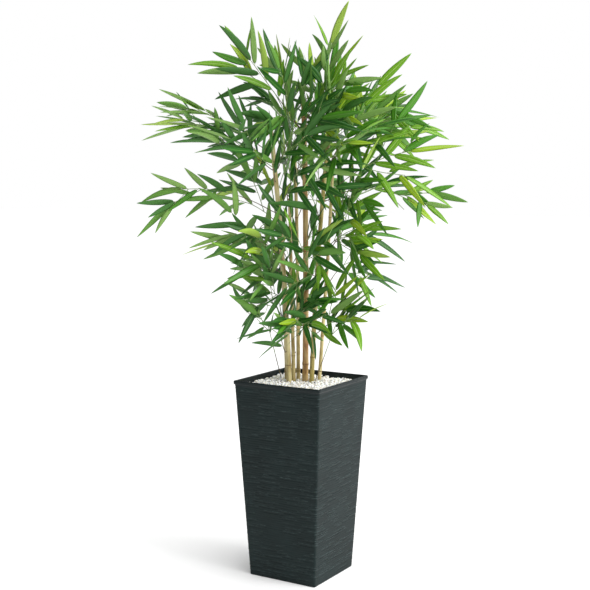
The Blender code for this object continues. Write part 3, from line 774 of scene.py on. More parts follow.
def cut_foam():
    """Florist's foam, cut rough to fit: a dull crumbly brown block that the chips hide."""
    tree, sockets, material = start_finish("cut_foam", "#5a4c3c", 0.9, 1.45)
    place = add(tree, "TexCoord").outputs["Object"]
    cells = add(tree, "TexVoronoi", {"Vector": place, "Scale": 1 / (1.5 * MM)})
    crumbs = {"Height": cells.outputs["Distance"], "Strength": 0.6, "Distance": 0.4 * MM}
    add(tree, "Bump", crumbs, sockets["Normal"])
    return material


# Finishes of the canes


def dried_culm(name, pale, warm, stain):
    """A natural bamboo culm, dried and waxed: a hard skin with a low sheen over long fibres.

    Sun and heat tan it in clouds, and the fibres show as fine lengthwise streaks.
    """
    tree, sockets, material = start_finish(name, warm, 0.40, 1.50)
    place = add(tree, "TexCoord").outputs["Object"]
    patterns = []
    for wide, long, detail in ((1.9 * MM, 80 * MM, 4.0), (14 * MM, 45 * MM, 3.0)):
        drawn_out = add(tree, "Mapping", {"Vector": place, "Scale": (1 / wide, 1 / wide, 1 / long)})
        noisy = {"Vector": drawn_out.outputs["Vector"], "Scale": 1.0, "Detail": detail}
        patterns.append(add(tree, "TexNoise", noisy).outputs["Fac"])
    fibres, clouds = patterns
    tan = add(tree, "ValToRGB", {"Fac": clouds}, stops=((0.34, stain), (0.50, warm), (0.66, pale)))
    streaks = add(tree, "MapRange", {"Value": fibres, "To Min": 0.55, "To Max": 1.22})
    streaked = {0: tan.outputs["Color"], 1: streaks.outputs["Result"]}
    add(tree, "VectorMath", streaked, sockets["Base Color"], operation="MULTIPLY")
    add(tree, "Bump", {"Height": fibres, "Strength": 0.4, "Distance": 0.25 * MM}, sockets["Normal"])
    return material


def joint_scar():
    """The ring where a sheath was shed: cork-rough and scorched darker than the culm."""
    tree, sockets, material = start_finish("joint_scar", "#6f4f2c", 0.75, 1.45)
    place = add(tree, "TexCoord").outputs["Object"]
    cork = add(tree, "TexNoise", {"Vector": place, "Scale": 1 / (1.2 * MM), "Detail": 4.0})
    tones = ((0.35, "#4d351d"), (0.65, "#8c6a3e"))
    add(tree, "ValToRGB", {"Fac": cork.outputs["Fac"]}, sockets["Base Color"], tones)
    pits = {"Height": cork.outputs["Fac"], "Strength": 0.7, "Distance": 0.3 * MM}
    add(tree, "Bump", pits, sockets["Normal"])
    return material


def sawn_culm():
    """The sawn end of a culm: pale, dry and open-grained."""
    tree, sockets, material = start_finish("sawn_culm", "#d9c38f", 0.8, 1.45)
    place = add(tree, "TexCoord").outputs["Object"]
    pores = add(tree, "TexVoronoi", {"Vector": place, "Scale": 1 / (0.6 * MM)})
    tones = ((0.1, "#a98a55"), (0.4, "#dfca98"))
    add(tree, "ValToRGB", {"Fac": pores.outputs["Distance"]}, sockets["Base Color"], tones)
    return material


# Finishes of the sprays


def leaf_fabric(name, base, roughness):
    """Polyester fabric, dyed, stiffened with resin and heat-pressed: even colour with a soft gloss.

    The press leaves the leaf's lengthwise veins as fine ribs, drawn here about 1 mm apart on the
    widest leaf. The colour is plain, because each leaf is cut from a cloth of one dye.
    """
    tree, sockets, material = start_finish(name, base, roughness, FABRIC_IOR)
    place = add(tree, "TexCoord").outputs["UV"]
    bands = {"Vector": place, "Scale": RIB_SCALE, "Distortion": 0.4, "Detail": 1.0}
    veins = add(tree, "TexWave", bands, wave_type="BANDS", bands_direction="Y")
    ribs = {"Height": veins.outputs["Fac"], "Strength": 0.45, "Distance": 0.15 * MM}
    add(tree, "Bump", ribs, sockets["Normal"])
    return material


def pressed_midrib(name, base):
    """The leaf's midrib, which the press leaves smooth and the dye leaves paler than the blade."""
    tree, sockets, material = start_finish(name, base, 0.38, FABRIC_IOR)
    place = add(tree, "TexCoord").outputs["UV"]
    creases = add(tree, "TexNoise", {"Vector": place, "Scale": 30.0, "Detail": 1.0})
    folds = {"Height": creases.outputs["Fac"], "Strength": 0.2, "Distance": 0.1 * MM}
    add(tree, "Bump", folds, sockets["Normal"])
    return material


def coated_wire(name, base):
    """Steel wire dipped in flexible plastic: a dull, slightly lumpy skin that passes for bark."""
    tree, sockets, material = start_finish(name, base, 0.52, 1.50)
    place = add(tree, "TexCoord").outputs["Object"]
    lumps = add(tree, "TexNoise", {"Vector": place, "Scale": 1 / (2.5 * MM), "Detail": 3.0})
    skin = {"Height": lumps.outputs["Fac"], "Strength": 0.5, "Distance": 0.2 * MM}
    add(tree, "Bump", skin, sockets["Normal"])
    return material


# The planter


def outline_columns():
    """The columns of points round the planter: where each stands on the square of the corners'
    centres, from -1 to 1 along both sides, and the way it faces."""
    columns = []
    for side in range(4):
        corner = Matrix.Rotation(math.pi / 2 * side, 2) @ Vector((1, 1))
        next_corner = Matrix.Rotation(math.pi / 2 * (side + 1), 2) @ Vector((1, 1))
        for step in range(CORNER_COLUMNS + 1):
            turn = math.pi / 2 * (side + step / CORNER_COLUMNS)
            columns.append((corner, Vector((math.cos(turn), math.sin(turn)))))
        facing = columns[-1][1]
        columns.extend((corner.lerp(next_corner, i / WALL_COLUMNS), facing) for i in range(1, WALL_COLUMNS))
    return columns


def outer_side(height):
    """The planter's outer width at this height, below its lip."""
    return PLANTER_FOOT + (PLANTER_TOP - 2 * LIP_OVERHANG - PLANTER_FOOT) * height / PLANTER_HEIGHT


def inner_side(height):
    """The width of the space inside the planter at this height."""
    return outer_side(height) - 2 * WALL


def around(columns, side, radius, height):
    """One level ring of the planter."""
    return [Vector((*(stand * (side / 2 - radius) + facing * radius), height)) for stand, facing in columns]


def furrow_ring(columns, number, share, swell, start, end):
    """One line of points along a furrow, which wanders up and down while its ridge comes and goes,
    and whether the ridge stands proud enough at each for a painted highlight on the ledge above it."""
    level = start + FURROW_PITCH * (number + share)
    fade = max(0.0, min(1.0, (level - start) / FURROW_FADE, (end - level) / FURROW_FADE))
    level += FURROW_SHIFT * noise.noise(Vector((FURROW_SHIFT_RATE * (number + share), 0, 0))) * fade
    ring, highlit_crests = [], []
    for spot in around(columns, outer_side(level), CORNER_RADIUS, level):
        wander = noise.noise(spot / FURROW_WAVE_LENGTH) * FURROW_WAVE
        apart = number * FURROW_BREAK_LENGTH * BREAKS_APART
        flat_spot = Vector((spot.x, spot.y, apart)) / FURROW_BREAK_LENGTH
        wander += noise.noise(flat_spot * SHORT_WAVE_RATE) * FURROW_WAVE * SHORT_WAVE
        strength = RIDGE_USUAL + RIDGE_SPREAD * noise.noise(flat_spot)
        strength = max(RIDGE_FAINTEST, min(1.0, strength))
        out = (swell - 0.5) * FURROW_DEPTH * strength * fade
        flat = spot.xy * (1 + 2 * out / outer_side(level))
        ring.append(Vector((*flat, level + wander * fade)))
        highlit_crests.append(strength > CREST_HIGHLIGHT)
    return ring, highlit_crests


def planter(resin, smooth, ledge_highlight):
    """The planter as one closed shell: underside, furrowed wall, rolled lip, inside and floor."""
    columns = outline_columns()
    lip_foot = PLANTER_HEIGHT - LIP_HEIGHT
    lip_inside = PLANTER_TOP - 2 * LIP_WIDTH
    start, end = FURROW_START, lip_foot - FURROW_END
    foot_profile = (
        (PLANTER_FOOT - RECESS_EDGE[1], RECESS_DEPTH, 1),
        (PLANTER_FOOT - RECESS_EDGE[0], 0.0, 1),
        (PLANTER_FOOT - 2 * FOOT_CHAMFER, 0.0, 1),
        (PLANTER_FOOT - 0.6 * FOOT_CHAMFER, 0.3 * FOOT_CHAMFER, 0),
        (outer_side(FOOT_CHAMFER), FOOT_CHAMFER, 0),
    )
    rings, finishes = [], []
    for side, height, finish in foot_profile:
        rings.append(around(columns, side, CORNER_RADIUS, height))
        finishes.append([finish] * len(columns))
    highlit_crests = [False] * len(columns)
    for number in range(int((end - start) / FURROW_PITCH)):
        for share, swell in FURROW_PROFILE:
            # Above a ridge that stands proud enough, the ledge up to the next groove gets the painted
            # highlight
            finishes.append([2 * crest if share == 0 else 0 for crest in highlit_crests])
            ring, highlit_crests = furrow_ring(columns, number, share, swell, start, end)
            rings.append(ring)
    lip_profile = (
        (outer_side(end), end),
        (outer_side(lip_foot) + 0.4 * MM, lip_foot - 1.6 * MM),
        (PLANTER_TOP - 1.6 * MM, lip_foot - 0.9 * MM),
        (PLANTER_TOP - 0.3 * MM, lip_foot - 0.1 * MM),
        (PLANTER_TOP, lip_foot + 0.9 * MM),
        (PLANTER_TOP, PLANTER_HEIGHT - 1.9 * MM),
        (PLANTER_TOP - 0.7 * MM, PLANTER_HEIGHT - 0.7 * MM),
        (PLANTER_TOP - 2.4 * MM, PLANTER_HEIGHT),
        (lip_inside + 2.0 * MM, PLANTER_HEIGHT),
        (lip_inside + 0.5 * MM, PLANTER_HEIGHT - 0.7 * MM),
        (lip_inside, PLANTER_HEIGHT - 2.0 * MM),
        (inner_side(lip_foot), lip_foot),
        (inner_side(FLOOR), FLOOR),
    )
    for side, height in lip_profile:
        radius = CORNER_RADIUS - max(0.0, (PLANTER_TOP - 3 * MM - side) / 2)
        rings.append(around(columns, side, max(radius, 2 * INNER_CORNER_RADIUS), height))
        finishes.append([1] * len(columns))
    points, faces = closed(rings)
    shell = Gathered("planter_shell", "ribbed_resin", resin, smooth, ledge_highlight)
    shell.add(points, faces, [pick for finish in finishes[1:] for pick in finish] + [1, 1])
    shell.as_piece(["planter"], sharp=PLANTER_EDGE)


# The marble chips


def chip_shape(draws, size):
    """A tumbled chip: a ball cut back by flats, then squeezed. Its points and faces."""
    ball = bmesh.new()
    bmesh.ops.create_icosphere(ball, subdivisions=2, radius=1.0)
    points = [vert.co.copy() for vert in ball.verts]
    faces = [[vert.index for vert in face.verts] for face in ball.faces]
    ball.free()
    for _ in range(CHIP_FLATS):
        way = Vector([draws.gauss(0, 1) for _ in range(3)]).normalized()
        depth = draws.uniform(*CHIP_CUTS)
        points = [p - way * max(0.0, p.dot(way) - depth) * CHIP_CUT_AWAY for p in points]
    squeeze = Vector((1.0, draws.uniform(*CHIP_WIDTHS), draws.uniform(*CHIP_HEIGHTS)))
    return [p * squeeze * size / 2 for p in points], faces


def heap_chips(draws, canes):
    """Where the chips come to rest: each drops on the lowest of a few spots. (size, place) of each."""
    half = inner_side(PEBBLE_TOP) / 2 - BED_CLEAR
    cells = int(2 * half / MM)
    top = [[PEBBLE_TOP - CHIP_LAYER] * cells for _ in range(cells)]
    chips = []
    for _ in range(CHIP_COUNT):
        size = draws.uniform(*CHIP_SIZES)
        reach = size * CHIP_REACH
        best = None
        for _ in range(CHIP_SPOTS):
            x, y = (draws.uniform(-half + reach, half - reach) for _ in range(2))
            if any((Vector((x, y)) - spot).length < radius + reach for spot, radius in canes):
                continue
            mound = PEBBLE_MOUND * (1 - (max(abs(x), abs(y)) / half) ** 2)
            cover = chip_cover(x, y, reach, half, cells)
            rest = max(top[i][j] + bulge for i, j, bulge in cover) + reach * CHIP_SEAT
            if best is None or rest - mound < best[0]:
                best = (rest - mound, x, y, rest, cover)
        if best is None:
            continue
        _, x, y, rest, cover = best
        for i, j, bulge in cover:
            top[i][j] = max(top[i][j], rest + bulge)
        chips.append((size, Vector((x, y, rest))))
    return chips


def chip_cover(x, y, reach, half, cells):
    """The millimetre cells that a chip covers, each with the chip's half height there."""
    cover = []
    for i in range(max(0, int((x - reach + half) / MM)), min(cells, int((x + reach + half) / MM) + 1)):
        for j in range(max(0, int((y - reach + half) / MM)), min(cells, int((y + reach + half) / MM) + 1)):
            off = math.hypot(i * MM - half - x, j * MM - half - y) / reach
            if off < 1:
                cover.append((i, j, reach * CHIP_BULGE * math.sqrt(1 - off * off)))
    return cover


def pebble_bed(marbles):
    """The heap of chips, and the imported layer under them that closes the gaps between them."""
    draws = random.Random(CHIP_SEED)
    around_canes = [(cane_centre(cane, PEBBLE_TOP).xy, cane.radii[0]) for cane in CANES]
    chips = Gathered("marble_chips", "white_marble_chips", *marbles)
    for size, place in heap_chips(draws, around_canes):
        points, faces = chip_shape(draws, size)
        turn = Matrix.Rotation(draws.uniform(0, 2 * math.pi), 3, "Z")
        turn = turn @ Matrix.Rotation(draws.gauss(0, CHIP_TILT), 3, "X")
        which = draws.choices(range(len(MARBLES)), MARBLE_SHARES)[0]
        chips.add([place + turn @ p for p in points], faces, which)
    chips.as_piece(["pebble_bed"], sharp=CHIP_EDGE)
    layer = bmesh.new()
    bmesh.ops.create_grid(layer, x_segments=BED_CELLS, y_segments=BED_CELLS, size=0.5)
    width = inner_side(PEBBLE_TOP - PEBBLE_DEPTH) - BED_CLEAR
    rim = bmesh.ops.extrude_face_region(layer, geom=layer.faces[:])["geom"]
    raised = {item for item in rim if isinstance(item, bmesh.types.BMVert)}
    for vert in layer.verts:
        height = PEBBLE_TOP - PEBBLE_DEPTH + GAP
        if vert in raised:
            height = PEBBLE_TOP - GAPS_DEPTH + draws.uniform(-1, 1) * GAPS_PLAY
        vert.co = Vector((vert.co.x * width, vert.co.y * width, height))
    bmesh.ops.recalc_face_normals(layer, faces=layer.faces)
    layer.verts.index_update()
    points = [vert.co.copy() for vert in layer.verts]
    faces = sorted([vert.index for vert in face.verts] for face in layer.faces)
    layer.free()
    packed = Gathered("packed_chips", "white_marble_chips", marbles[2])
    packed.add(points, faces)
    packed.as_piece(["pebble_bed"])


# The canes


def cane_share(cane, height):
    """How far up a cane this height is, from 0 at its foot to 1 at its top."""
    return (height - CANE_FOOT) / (cane.top[2] - CANE_FOOT)


def cane_centre(cane, height):
    """The middle of a cane at this height."""
    share = cane_share(cane, height)
    across, toward = (between(ends, share) for ends in zip(cane.foot, cane.top))
    return seen(across + cane.bow * 4 * share * (1 - share), toward, height)


def cane_radius(cane, height):
    """A cane's radius between its joints, at this height."""
    return between(cane.radii, cane_share(cane, height))


def cane_joints(cane):
    """The heights of the swollen joints along a cane."""
    spacing = JOINT_SPACING
    height = PEBBLE_TOP + FIRST_JOINT * (0.5 + CANES.index(cane) % 3 / 2)
    heights = []
    while height < cane.top[2] - JOINT_SPACING / 3:
        heights.append(height)
        height += spacing
        spacing *= JOINT_GROWTH
    return heights


def cane_rings(cane):
    """(height, share of the radius, whether it is scar) of each ring of a cane below its sawn end."""
    joints = cane_joints(cane)
    rings = [(joint + off * MM, swell, scar) for joint in joints for off, swell, scar in JOINT_RELIEF]
    top = cane.top[2]
    for i in range(int((top - CANE_FOOT) / CANE_STEP)):
        height = CANE_FOOT + i * CANE_STEP
        if all(abs(height - joint) > JOINT_CLEAR for joint in joints):
            rings.append((height, 1.0, 0))
    rings = sorted(ring for ring in rings if CANE_FOOT <= ring[0] < top - END_CLEAR)
    if rings[0][0] > CANE_FOOT:
        rings.insert(0, (CANE_FOOT, 1.0, 0))
    return [*rings, (top - END_BEVEL, 1.0, 0)]


def cane_shape(cane, culm):
    """A cane: joints with their scars, a groove above each on the side that bore a branch, a sawn
    end with the hollow of the culm in it. Adds it to the piece."""
    draws = draws_for(cane.name)
    joints = cane_joints(cane)
    sides = [draws.uniform(0, 2 * math.pi) + math.pi * i for i in range(len(joints))]
    kinks = [Vector((draws.uniform(-1, 1), draws.uniform(-1, 1), 0)) * KINK_MM * MM for _ in joints]
    turns = [2 * math.pi * i / CANE_SIDES for i in range(CANE_SIDES)]
    rings = cane_rings(cane)
    shape = []
    for height, swell, _ in rings:
        centre = cane_centre(cane, height)
        below = [i for i, joint in enumerate(joints) if joint <= height]
        radius = cane_radius(cane, height) * swell
        kinked = Vector((0, 0, 0))
        for kink, joint in zip(kinks, joints):
            kinked += kink * max(0.0, 1 - abs(height - joint) / KINK_LENGTH)
        ring = []
        for turn in turns:
            uneven = 1 + UNEVEN * noise.noise(heading(turn, height / UNEVEN_LENGTH) * UNEVEN_ROUND)
            if below:
                above = (height - joints[below[-1]]) / GROOVE_LENGTH
                facing = max(0.0, math.cos(turn - sides[below[-1]]))
                if above < 1:
                    uneven -= GROOVE_DEPTH * facing**GROOVE_NARROWING * (1 - above)
            ring.append(centre + kinked + heading(turn) * radius * uneven)
        shape.append(ring)
    centre, radius = cane_centre(cane, cane.top[2]), cane_radius(cane, rings[-1][0])
    for share, drop in SAWN_END:
        level = Vector((0, 0, drop * MM))
        shape.append([centre + heading(turn) * radius * share - level for turn in turns])
    picks = []
    for (_, _, scar), (_, _, next_scar) in zip(rings, rings[1:]):
        picks.extend([scar and next_scar] * CANE_SIDES)
    points, faces = closed(shape)
    sawn = len(faces) - len(picks) - 2
    culm.add(points, faces, picks + [2] * sawn + [0, 2])


def branch_stubs(cane, culm):
    """The stubs of the twigs that were cut from some joints."""
    draws = draws_for(cane.name, "stubs")
    for height in cane_joints(cane):
        if draws.random() < NO_STUB:
            continue
        outward = heading(draws.uniform(0, 2 * math.pi), draws.uniform(*STUB_RISE)).normalized()
        start = cane_centre(cane, height + STUB_ABOVE)
        reach = cane_radius(cane, height)
        thick = reach * draws.uniform(*STUB_THICKNESS)
        shares = (*STUB_SHARES, draws.uniform(*STUB_LENGTH))
        spots = [start + outward * reach * share for share in shares]
        points, faces = rod(spots, [thick * swell for swell in STUB_SWELLS], STUB_SIDES)
        culm.add(points, faces, [1] * (len(faces) - 1) + [2])


# The sprays grow by the same rule as the solids, then on to finer twigs


def frame_along(tangent):
    """Two directions across a tangent: one level, and the one that points up from it."""
    level = tangent.cross(Vector((0, 0, 1)))
    if level.length < NEARLY_UPRIGHT:
        level = tangent.cross(Vector((0, 1, 0)))
    level.normalize()
    return level, level.cross(tangent).normalized()


def three_sided(direction):
    """The three corners, round its middle, of a section of a twig that runs in a direction."""
    level, upward = frame_along(direction)
    turns = (math.pi / 2 + 2 * math.pi * i / 3 for i in range(3))
    return [level * math.cos(t) + upward * math.sin(t) for t in turns]


def twig_space(twig):
    """The space that a twig takes in the solids."""
    corners = three_sided(twig.points[-1] - twig.points[0])
    last = len(twig.points) - 1
    rings = []
    for i, point in enumerate(twig.points):
        radius = twig.radii[0] + (twig.radii[1] - twig.radii[0]) * i / last
        rings.append([point + corner * radius for corner in corners])
    return BVHTree.FromPolygons(*closed(rings))


def leaf_space(leaf, start=0.0):
    """The space that a leaf takes in the solids, from this share of its length on. The drawn blade is
    curved and fuller, so some blades still cross."""
    sideways = leaf.along.cross(leaf.normal).normalized()
    half, keel = leaf.length * LEAF_WIDTH / 2, leaf.length * LEAF_KEEL
    section = (sideways * half, -sideways * half, -leaf.normal * keel)
    neck = LEAF_NECK + (1 - LEAF_NECK) * start / LEAF_SHOULDER
    down = Vector((0, 0, -leaf.sag * leaf.length))
    root = leaf.base + leaf.along * (leaf.length * start)
    middle = leaf.base + leaf.along * (leaf.length * LEAF_SHOULDER) + down * LEAF_SHOULDER_SAG
    tip = leaf.base + leaf.along * leaf.length + down
    rings = [[root + edge * neck for edge in section], [middle + edge for edge in section], [tip]]
    return BVHTree.FromPolygons(*closed(rings))


def node_space(node):
    """The space that one of the solids takes."""
    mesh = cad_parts[node].data
    return BVHTree.FromPolygons([v.co for v in mesh.vertices], [p.vertices for p in mesh.polygons])


def touches(space, others):
    """True if a space meets any of the others."""
    return any(space.overlap(other) for other in others)


def seated_root(centre, outward, corners, support):
    """Where a stem starts, so that the nearest spot of its end is one gap clear of its support."""
    middles = [(a + b) / 2 for a, b in zip(corners, corners[1:] + corners[:1])]
    reaches = []
    for spot in corners + middles:
        start = centre + outward * STEM_PROBE + spot * STEM_RADIUS
        hit = support.ray_cast(start, -outward)[0]
        if hit:
            reaches.append((start - hit).length)
    return centre + outward * (STEM_PROBE - min(reaches) + GAP)


def draws_for(name, *numbers):
    """The draws of one twig or leaf alone, so that it grows the same whatever grows before it."""
    return random.Random(" ".join([name, *map(str, numbers)]))


def stem_of(spray, turn, spaces):
    """The main stem of a spray, turned round its root by a small angle to pass what is near."""
    reach = Matrix.Rotation(turn, 3, "Z") @ seen(*spray.reach)
    if spray.cane == BED:
        centre = seen(*spray.height, PEBBLE_TOP)
        outward = Vector((0, 0, 1))
        support = spaces["pebble_bed"]
    else:
        centre = cane_centre(cane_named(spray.cane), spray.height)
        outward = Vector((reach.x, reach.y, 0)).normalized()
        support = spaces[spray.cane]
    tip = centre + reach
    root = seated_root(centre, outward, three_sided(tip - centre), support)
    collar = root + outward * STEM_COLLAR
    bend = collar.lerp(tip, 0.5) + Vector((0, 0, spray.arch * 2))
    points = [root]
    for i in range(STEM_STEPS + 1):
        t = i / STEM_STEPS
        points.append(collar * (1 - t) ** 2 + bend * 2 * t * (1 - t) + tip * t**2)
    return Twig(spray.name, points, (STEM_RADIUS, TIP_RADIUS))


def twig_length(twig):
    """How long a twig is."""
    return sum((b - a).length for a, b in zip(twig.points, twig.points[1:]))


def along_twig(twig, share):
    """The point and direction at this share of a twig's length."""
    steps = [(b - a) for a, b in zip(twig.points, twig.points[1:])]
    left = share * twig_length(twig)
    for point, step in zip(twig.points, steps):
        if left <= step.length or step is steps[-1]:
            return point + step * min(1.0, left / step.length), step.normalized()
        left -= step.length


def fan_axes(tangent, roll):
    """The side and the face of a fan of leaves that is turned up out of the level by roll."""
    level, upward = frame_along(tangent)
    turned = Matrix.Rotation(math.radians(roll), 3, tangent)
    return turned @ level, turned @ upward


def side_twig(name, carrier, share, roll, turn, lift, reach, radii):
    """A twig that leaves its carrier at a turn in its fan, and bends back a little towards its way."""
    point, tangent = along_twig(carrier, share)
    side, face = fan_axes(tangent, roll)
    along = tangent * math.cos(turn) + side * math.sin(turn) + face * lift
    points = []
    for step in range(TWIG_STEPS + 1):
        t = step / TWIG_STEPS
        points.append(point + along.normalized() * reach * t + tangent * reach * TWIG_BEND * t * t)
    return Twig(name, points, radii)


def side_twigs(spray, stem):
    """The side twigs of a spray's stem."""
    twigs = []
    for number, (share, degrees) in enumerate(spray.twigs, 1):
        draws = draws_for(spray.name, number)
        roll = spray.roll + draws.uniform(-TWIG_ROLL, TWIG_ROLL)
        lift = draws.uniform(*TWIG_LIFT)
        reach = spray.leaf * draws.uniform(*TWIG_REACH)
        name, turn = f"{spray.name}_{number}", math.radians(degrees)
        twigs.append(side_twig(name, stem, share, roll, turn, lift, reach, (TWIG_RADIUS, TIP_RADIUS)))
    return twigs


def leaf_places(twig, from_share):
    """(share along the twig, hand) of each leaf: by turns to either side, and one at the tip."""
    count = max(2, round(twig_length(twig) * (1 - from_share) / LEAF_SPACING))
    hand = draws_for(twig.name).choice((-1, 1))
    places = [(1.0, 0)]
    for i in range(count):
        places.append((1 - (1 - from_share) * (i + LEAF_START) / count, hand if i % 2 else -hand))
    return places


def grow_leaf(spray, twig, share, hand, draws, key):
    """One leaf at this share of a twig: nearer the tip it lies closer along the twig."""
    point, tangent = along_twig(twig, share)
    side, face = fan_axes(tangent, spray.roll + draws.uniform(-LEAF_ROLL, LEAF_ROLL))
    if hand:
        spread = math.radians(LEAF_SPREAD + LEAF_SPREAD_INWARD * (1 - share))
    else:
        spread = math.radians(draws.uniform(*TIP_LEAF_SPREAD))
    spread += math.radians(draws.uniform(*LEAF_SPREAD_PLAY))
    along = tangent * math.cos(spread) + side * (hand or 1) * math.sin(spread)
    along += face * draws.uniform(-LEAF_LIFT, LEAF_LIFT) + Vector((0, 0, LEAF_FALL))
    along.normalize()
    normal = (face - along * face.dot(along)).normalized()
    turn = math.radians(draws.uniform(-LEAF_TURN, LEAF_TURN))
    normal = Matrix.Rotation(turn, 3, along) @ normal
    if normal.z < 0:
        normal.negate()
    length = spray.leaf * draws.uniform(*(LEAF_LENGTHS if hand else TIP_LEAF_LENGTHS))
    base = point if hand else point - tangent * LEAF_SINK
    return Leaf(base, along, normal, length, draws.uniform(*LEAF_SAGS), key)


def in_open_sky(leaf):
    """Whether a leaf's middle would close one of the crown's openings, seen from the display side."""
    across, nearer, eye = seen(1, 0, 0), seen(0, 1, 0), Vector(CAMERA_PLACE)
    ray = leaf.base + leaf.along * leaf.length / 2 - eye
    spot = eye - ray * (eye.dot(nearer) / ray.dot(nearer))
    place = spot.dot(across)
    return any(((place - x) / w) ** 2 + ((spot.z - z) / h) ** 2 < 1 for x, z, w, h in OPEN_SKY)


def clothe(spray, twig, from_share, others, own, space_left=lambda leaf: True):
    """The leaves of one twig, each with whether it is the one at the tip. A leaf whose plain space
    would meet something tries again, and then is skipped."""
    leaves = []
    for place, (share, hand) in enumerate(leaf_places(twig, from_share)):
        for attempt in range(TRIES):
            key = f"{twig.name} {place}"
            leaf = grow_leaf(spray, twig, share, hand, draws_for(twig.name, place, attempt), key)
            if in_open_sky(leaf) or not space_left(leaf) or touches(leaf_space(leaf), others):
                continue
            space = leaf_space(leaf, start=LEAF_CLEAR)
            if touches(space, own):
                continue
            own.append(space)
            leaves.append((leaf, hand == 0))
            break
    return leaves


def grow_spray(spray, spaces, fine_spaces):
    """A spray's twigs and leaves as in the solids, apart from leaves in open sky, and then the finer
    ones that fill it out."""
    node = "spray_" + spray.name
    others = [space for name, space in spaces.items() if name not in (node, "filling")]
    for turn in STEM_TURNS:
        stem = stem_of(spray, math.radians(turn), spaces)
        if not touches(twig_space(stem), others):
            break
    twigs = [stem]
    twigs.extend(twig for twig in side_twigs(spray, stem) if not touches(twig_space(twig), others))
    own = [twig_space(twig) for twig in twigs]
    leaves = []
    for twig in twigs:
        leaves.extend(clothe(spray, twig, spray.bare if twig is stem else TWIG_BARE, others, own))
    fine, fine_leaves = grow_finer(spray, twigs, [*others, *fine_spaces], own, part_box(node))
    fine_spaces.extend(own)
    return twigs + fine, leaves + fine_leaves


def spray_habit(spray):
    """How young a spray's leaves are, and how closely its finer twigs stand."""
    return HABITS.get(spray.name) or (draws_for(spray.name, "age").random(), HIDDEN_CLOSENESS)


def fine_twig(spray, carrier, share, name, draws):
    """One finer twig, which leaves its carrier to either side."""
    roll = spray.roll + draws.uniform(-FINE_ROLL, FINE_ROLL)
    turn = math.radians(draws.uniform(*FINE_TURNS)) * draws.choice((-1, 1))
    lift = draws.uniform(-FINE_LIFT, FINE_LIFT)
    reach = spray.leaf * draws.uniform(*FINE_REACH)
    return side_twig(name, carrier, share, roll, turn, lift, reach, FINE_RADII)


def grow_finer(spray, twigs, others, own, box):
    """The finer twigs of a spray and their smaller leaves, all within the spray's own reach. Where
    they should stand close, one that finds no room tries elsewhere."""
    low, high = (Vector(corner) for corner in box)
    small = spray._replace(leaf=spray.leaf * FINE_LEAF)

    def within(leaf):
        tip = leaf.base + leaf.along * leaf.length - Vector((0, 0, leaf.sag * leaf.length))
        return all(a - FINE_SLACK < value < b + FINE_SLACK for a, value, b in zip(low, tip, high))

    fine, leaves = [], []
    closeness = spray_habit(spray)[1]
    for twig in twigs:
        from_share = spray.bare if twig is twigs[0] else TWIG_BARE
        count = round(twig_length(twig) * (1 - from_share) / FINE_SPACING * closeness)
        for number in range(count):
            draws = draws_for(twig.name, "fine", number)
            for _ in range(1 if closeness <= 1 else FINE_TRIES):
                share = from_share + (1 - from_share) * (number + draws.uniform(*FINE_PLACES)) / count
                finer = fine_twig(spray, twig, share, f"{twig.name}_fine_{number}", draws)
                start = finer.points[0].lerp(finer.points[1], FINE_CLEAR)
                space = twig_space(finer._replace(points=[start, *finer.points[1:]]))
                if touches(space, [*others, *own]):
                    continue
                grown = clothe(small, finer, FINE_BARE, others, [*own, space], within)
                if grown:
                    fine.append(finer)
                    own.append(space)
                    own.extend(leaf_space(leaf, start=LEAF_CLEAR) for leaf, _ in grown)
                    leaves.extend(grown)
                    break
    return fine, leaves


# The shapes of leaves and wires


def blade_width(t):
    """The width of a blade as a share of its widest, at t from 0 at its base to 1 at its tip."""
    return (t / BLADE_WIDEST) ** BLADE_BASE * ((1 - t) / (1 - BLADE_WIDEST)) ** BLADE_POINT


def leaf_blade(leaf):
    """A pressed leaf: two skins that meet along the margin, folded a little along the midrib,
    curved down to the tip and turned a little. Its points and their places on the pattern."""
    draws = draws_for(leaf.key, "blade")
    width = BLADE_WIDTH * (leaf.length / BLADE_LENGTH) ** BLADE_GROWTH
    half = min(width, BLADE_BROADEST * leaf.length) / 2 * draws.uniform(*BLADE_WIDTHS)
    fold = draws.uniform(*BLADE_FOLDS)
    arch = draws.uniform(*BLADE_ARCHES)
    twist = draws.uniform(-BLADE_TWIST, BLADE_TWIST)
    bow = draws.uniform(-BLADE_BOW, BLADE_BOW) * leaf.length
    sideways = leaf.along.cross(leaf.normal).normalized()
    down = Vector((0, 0, -leaf.sag * leaf.length))
    start = leaf.base + leaf.along * leaf.length * LEAF_STALK
    length = leaf.length * (1 - LEAF_STALK)

    def centre(t):
        return start + leaf.along * length * t + down * t**BLADE_DROOP + sideways * bow * 4 * t * (t - 1)

    points, places = [centre(0.0)], [(0.0, 0.5)]
    for t in LEAF_STATIONS:
        turned = Matrix.Rotation(twist * t, 3, leaf.along)
        across, up = turned @ sideways, turned @ leaf.normal
        width = half * blade_width(t)
        upper = []
        for column in LEAF_COLUMNS:
            rise = fold * abs(column) - arch * column * column
            upper.append(centre(t) + across * width * column + up * width * rise)
        under = []
        for column, point in zip(LEAF_COLUMNS[1:-1], upper[1:-1]):
            rib = MIDRIB_SWELL if abs(column) < MIDRIB_COLUMN else 1.0
            under.append(point - up * LEAF_THICKNESS * rib * (1 - LEAF_THINNING * t))
        points.extend(upper + under)
        places.extend((t, 0.5 + column / 2) for column in (*LEAF_COLUMNS, *LEAF_COLUMNS[1:-1]))
    points.append(centre(1.0))
    places.append((1.0, 0.5))
    return points, places


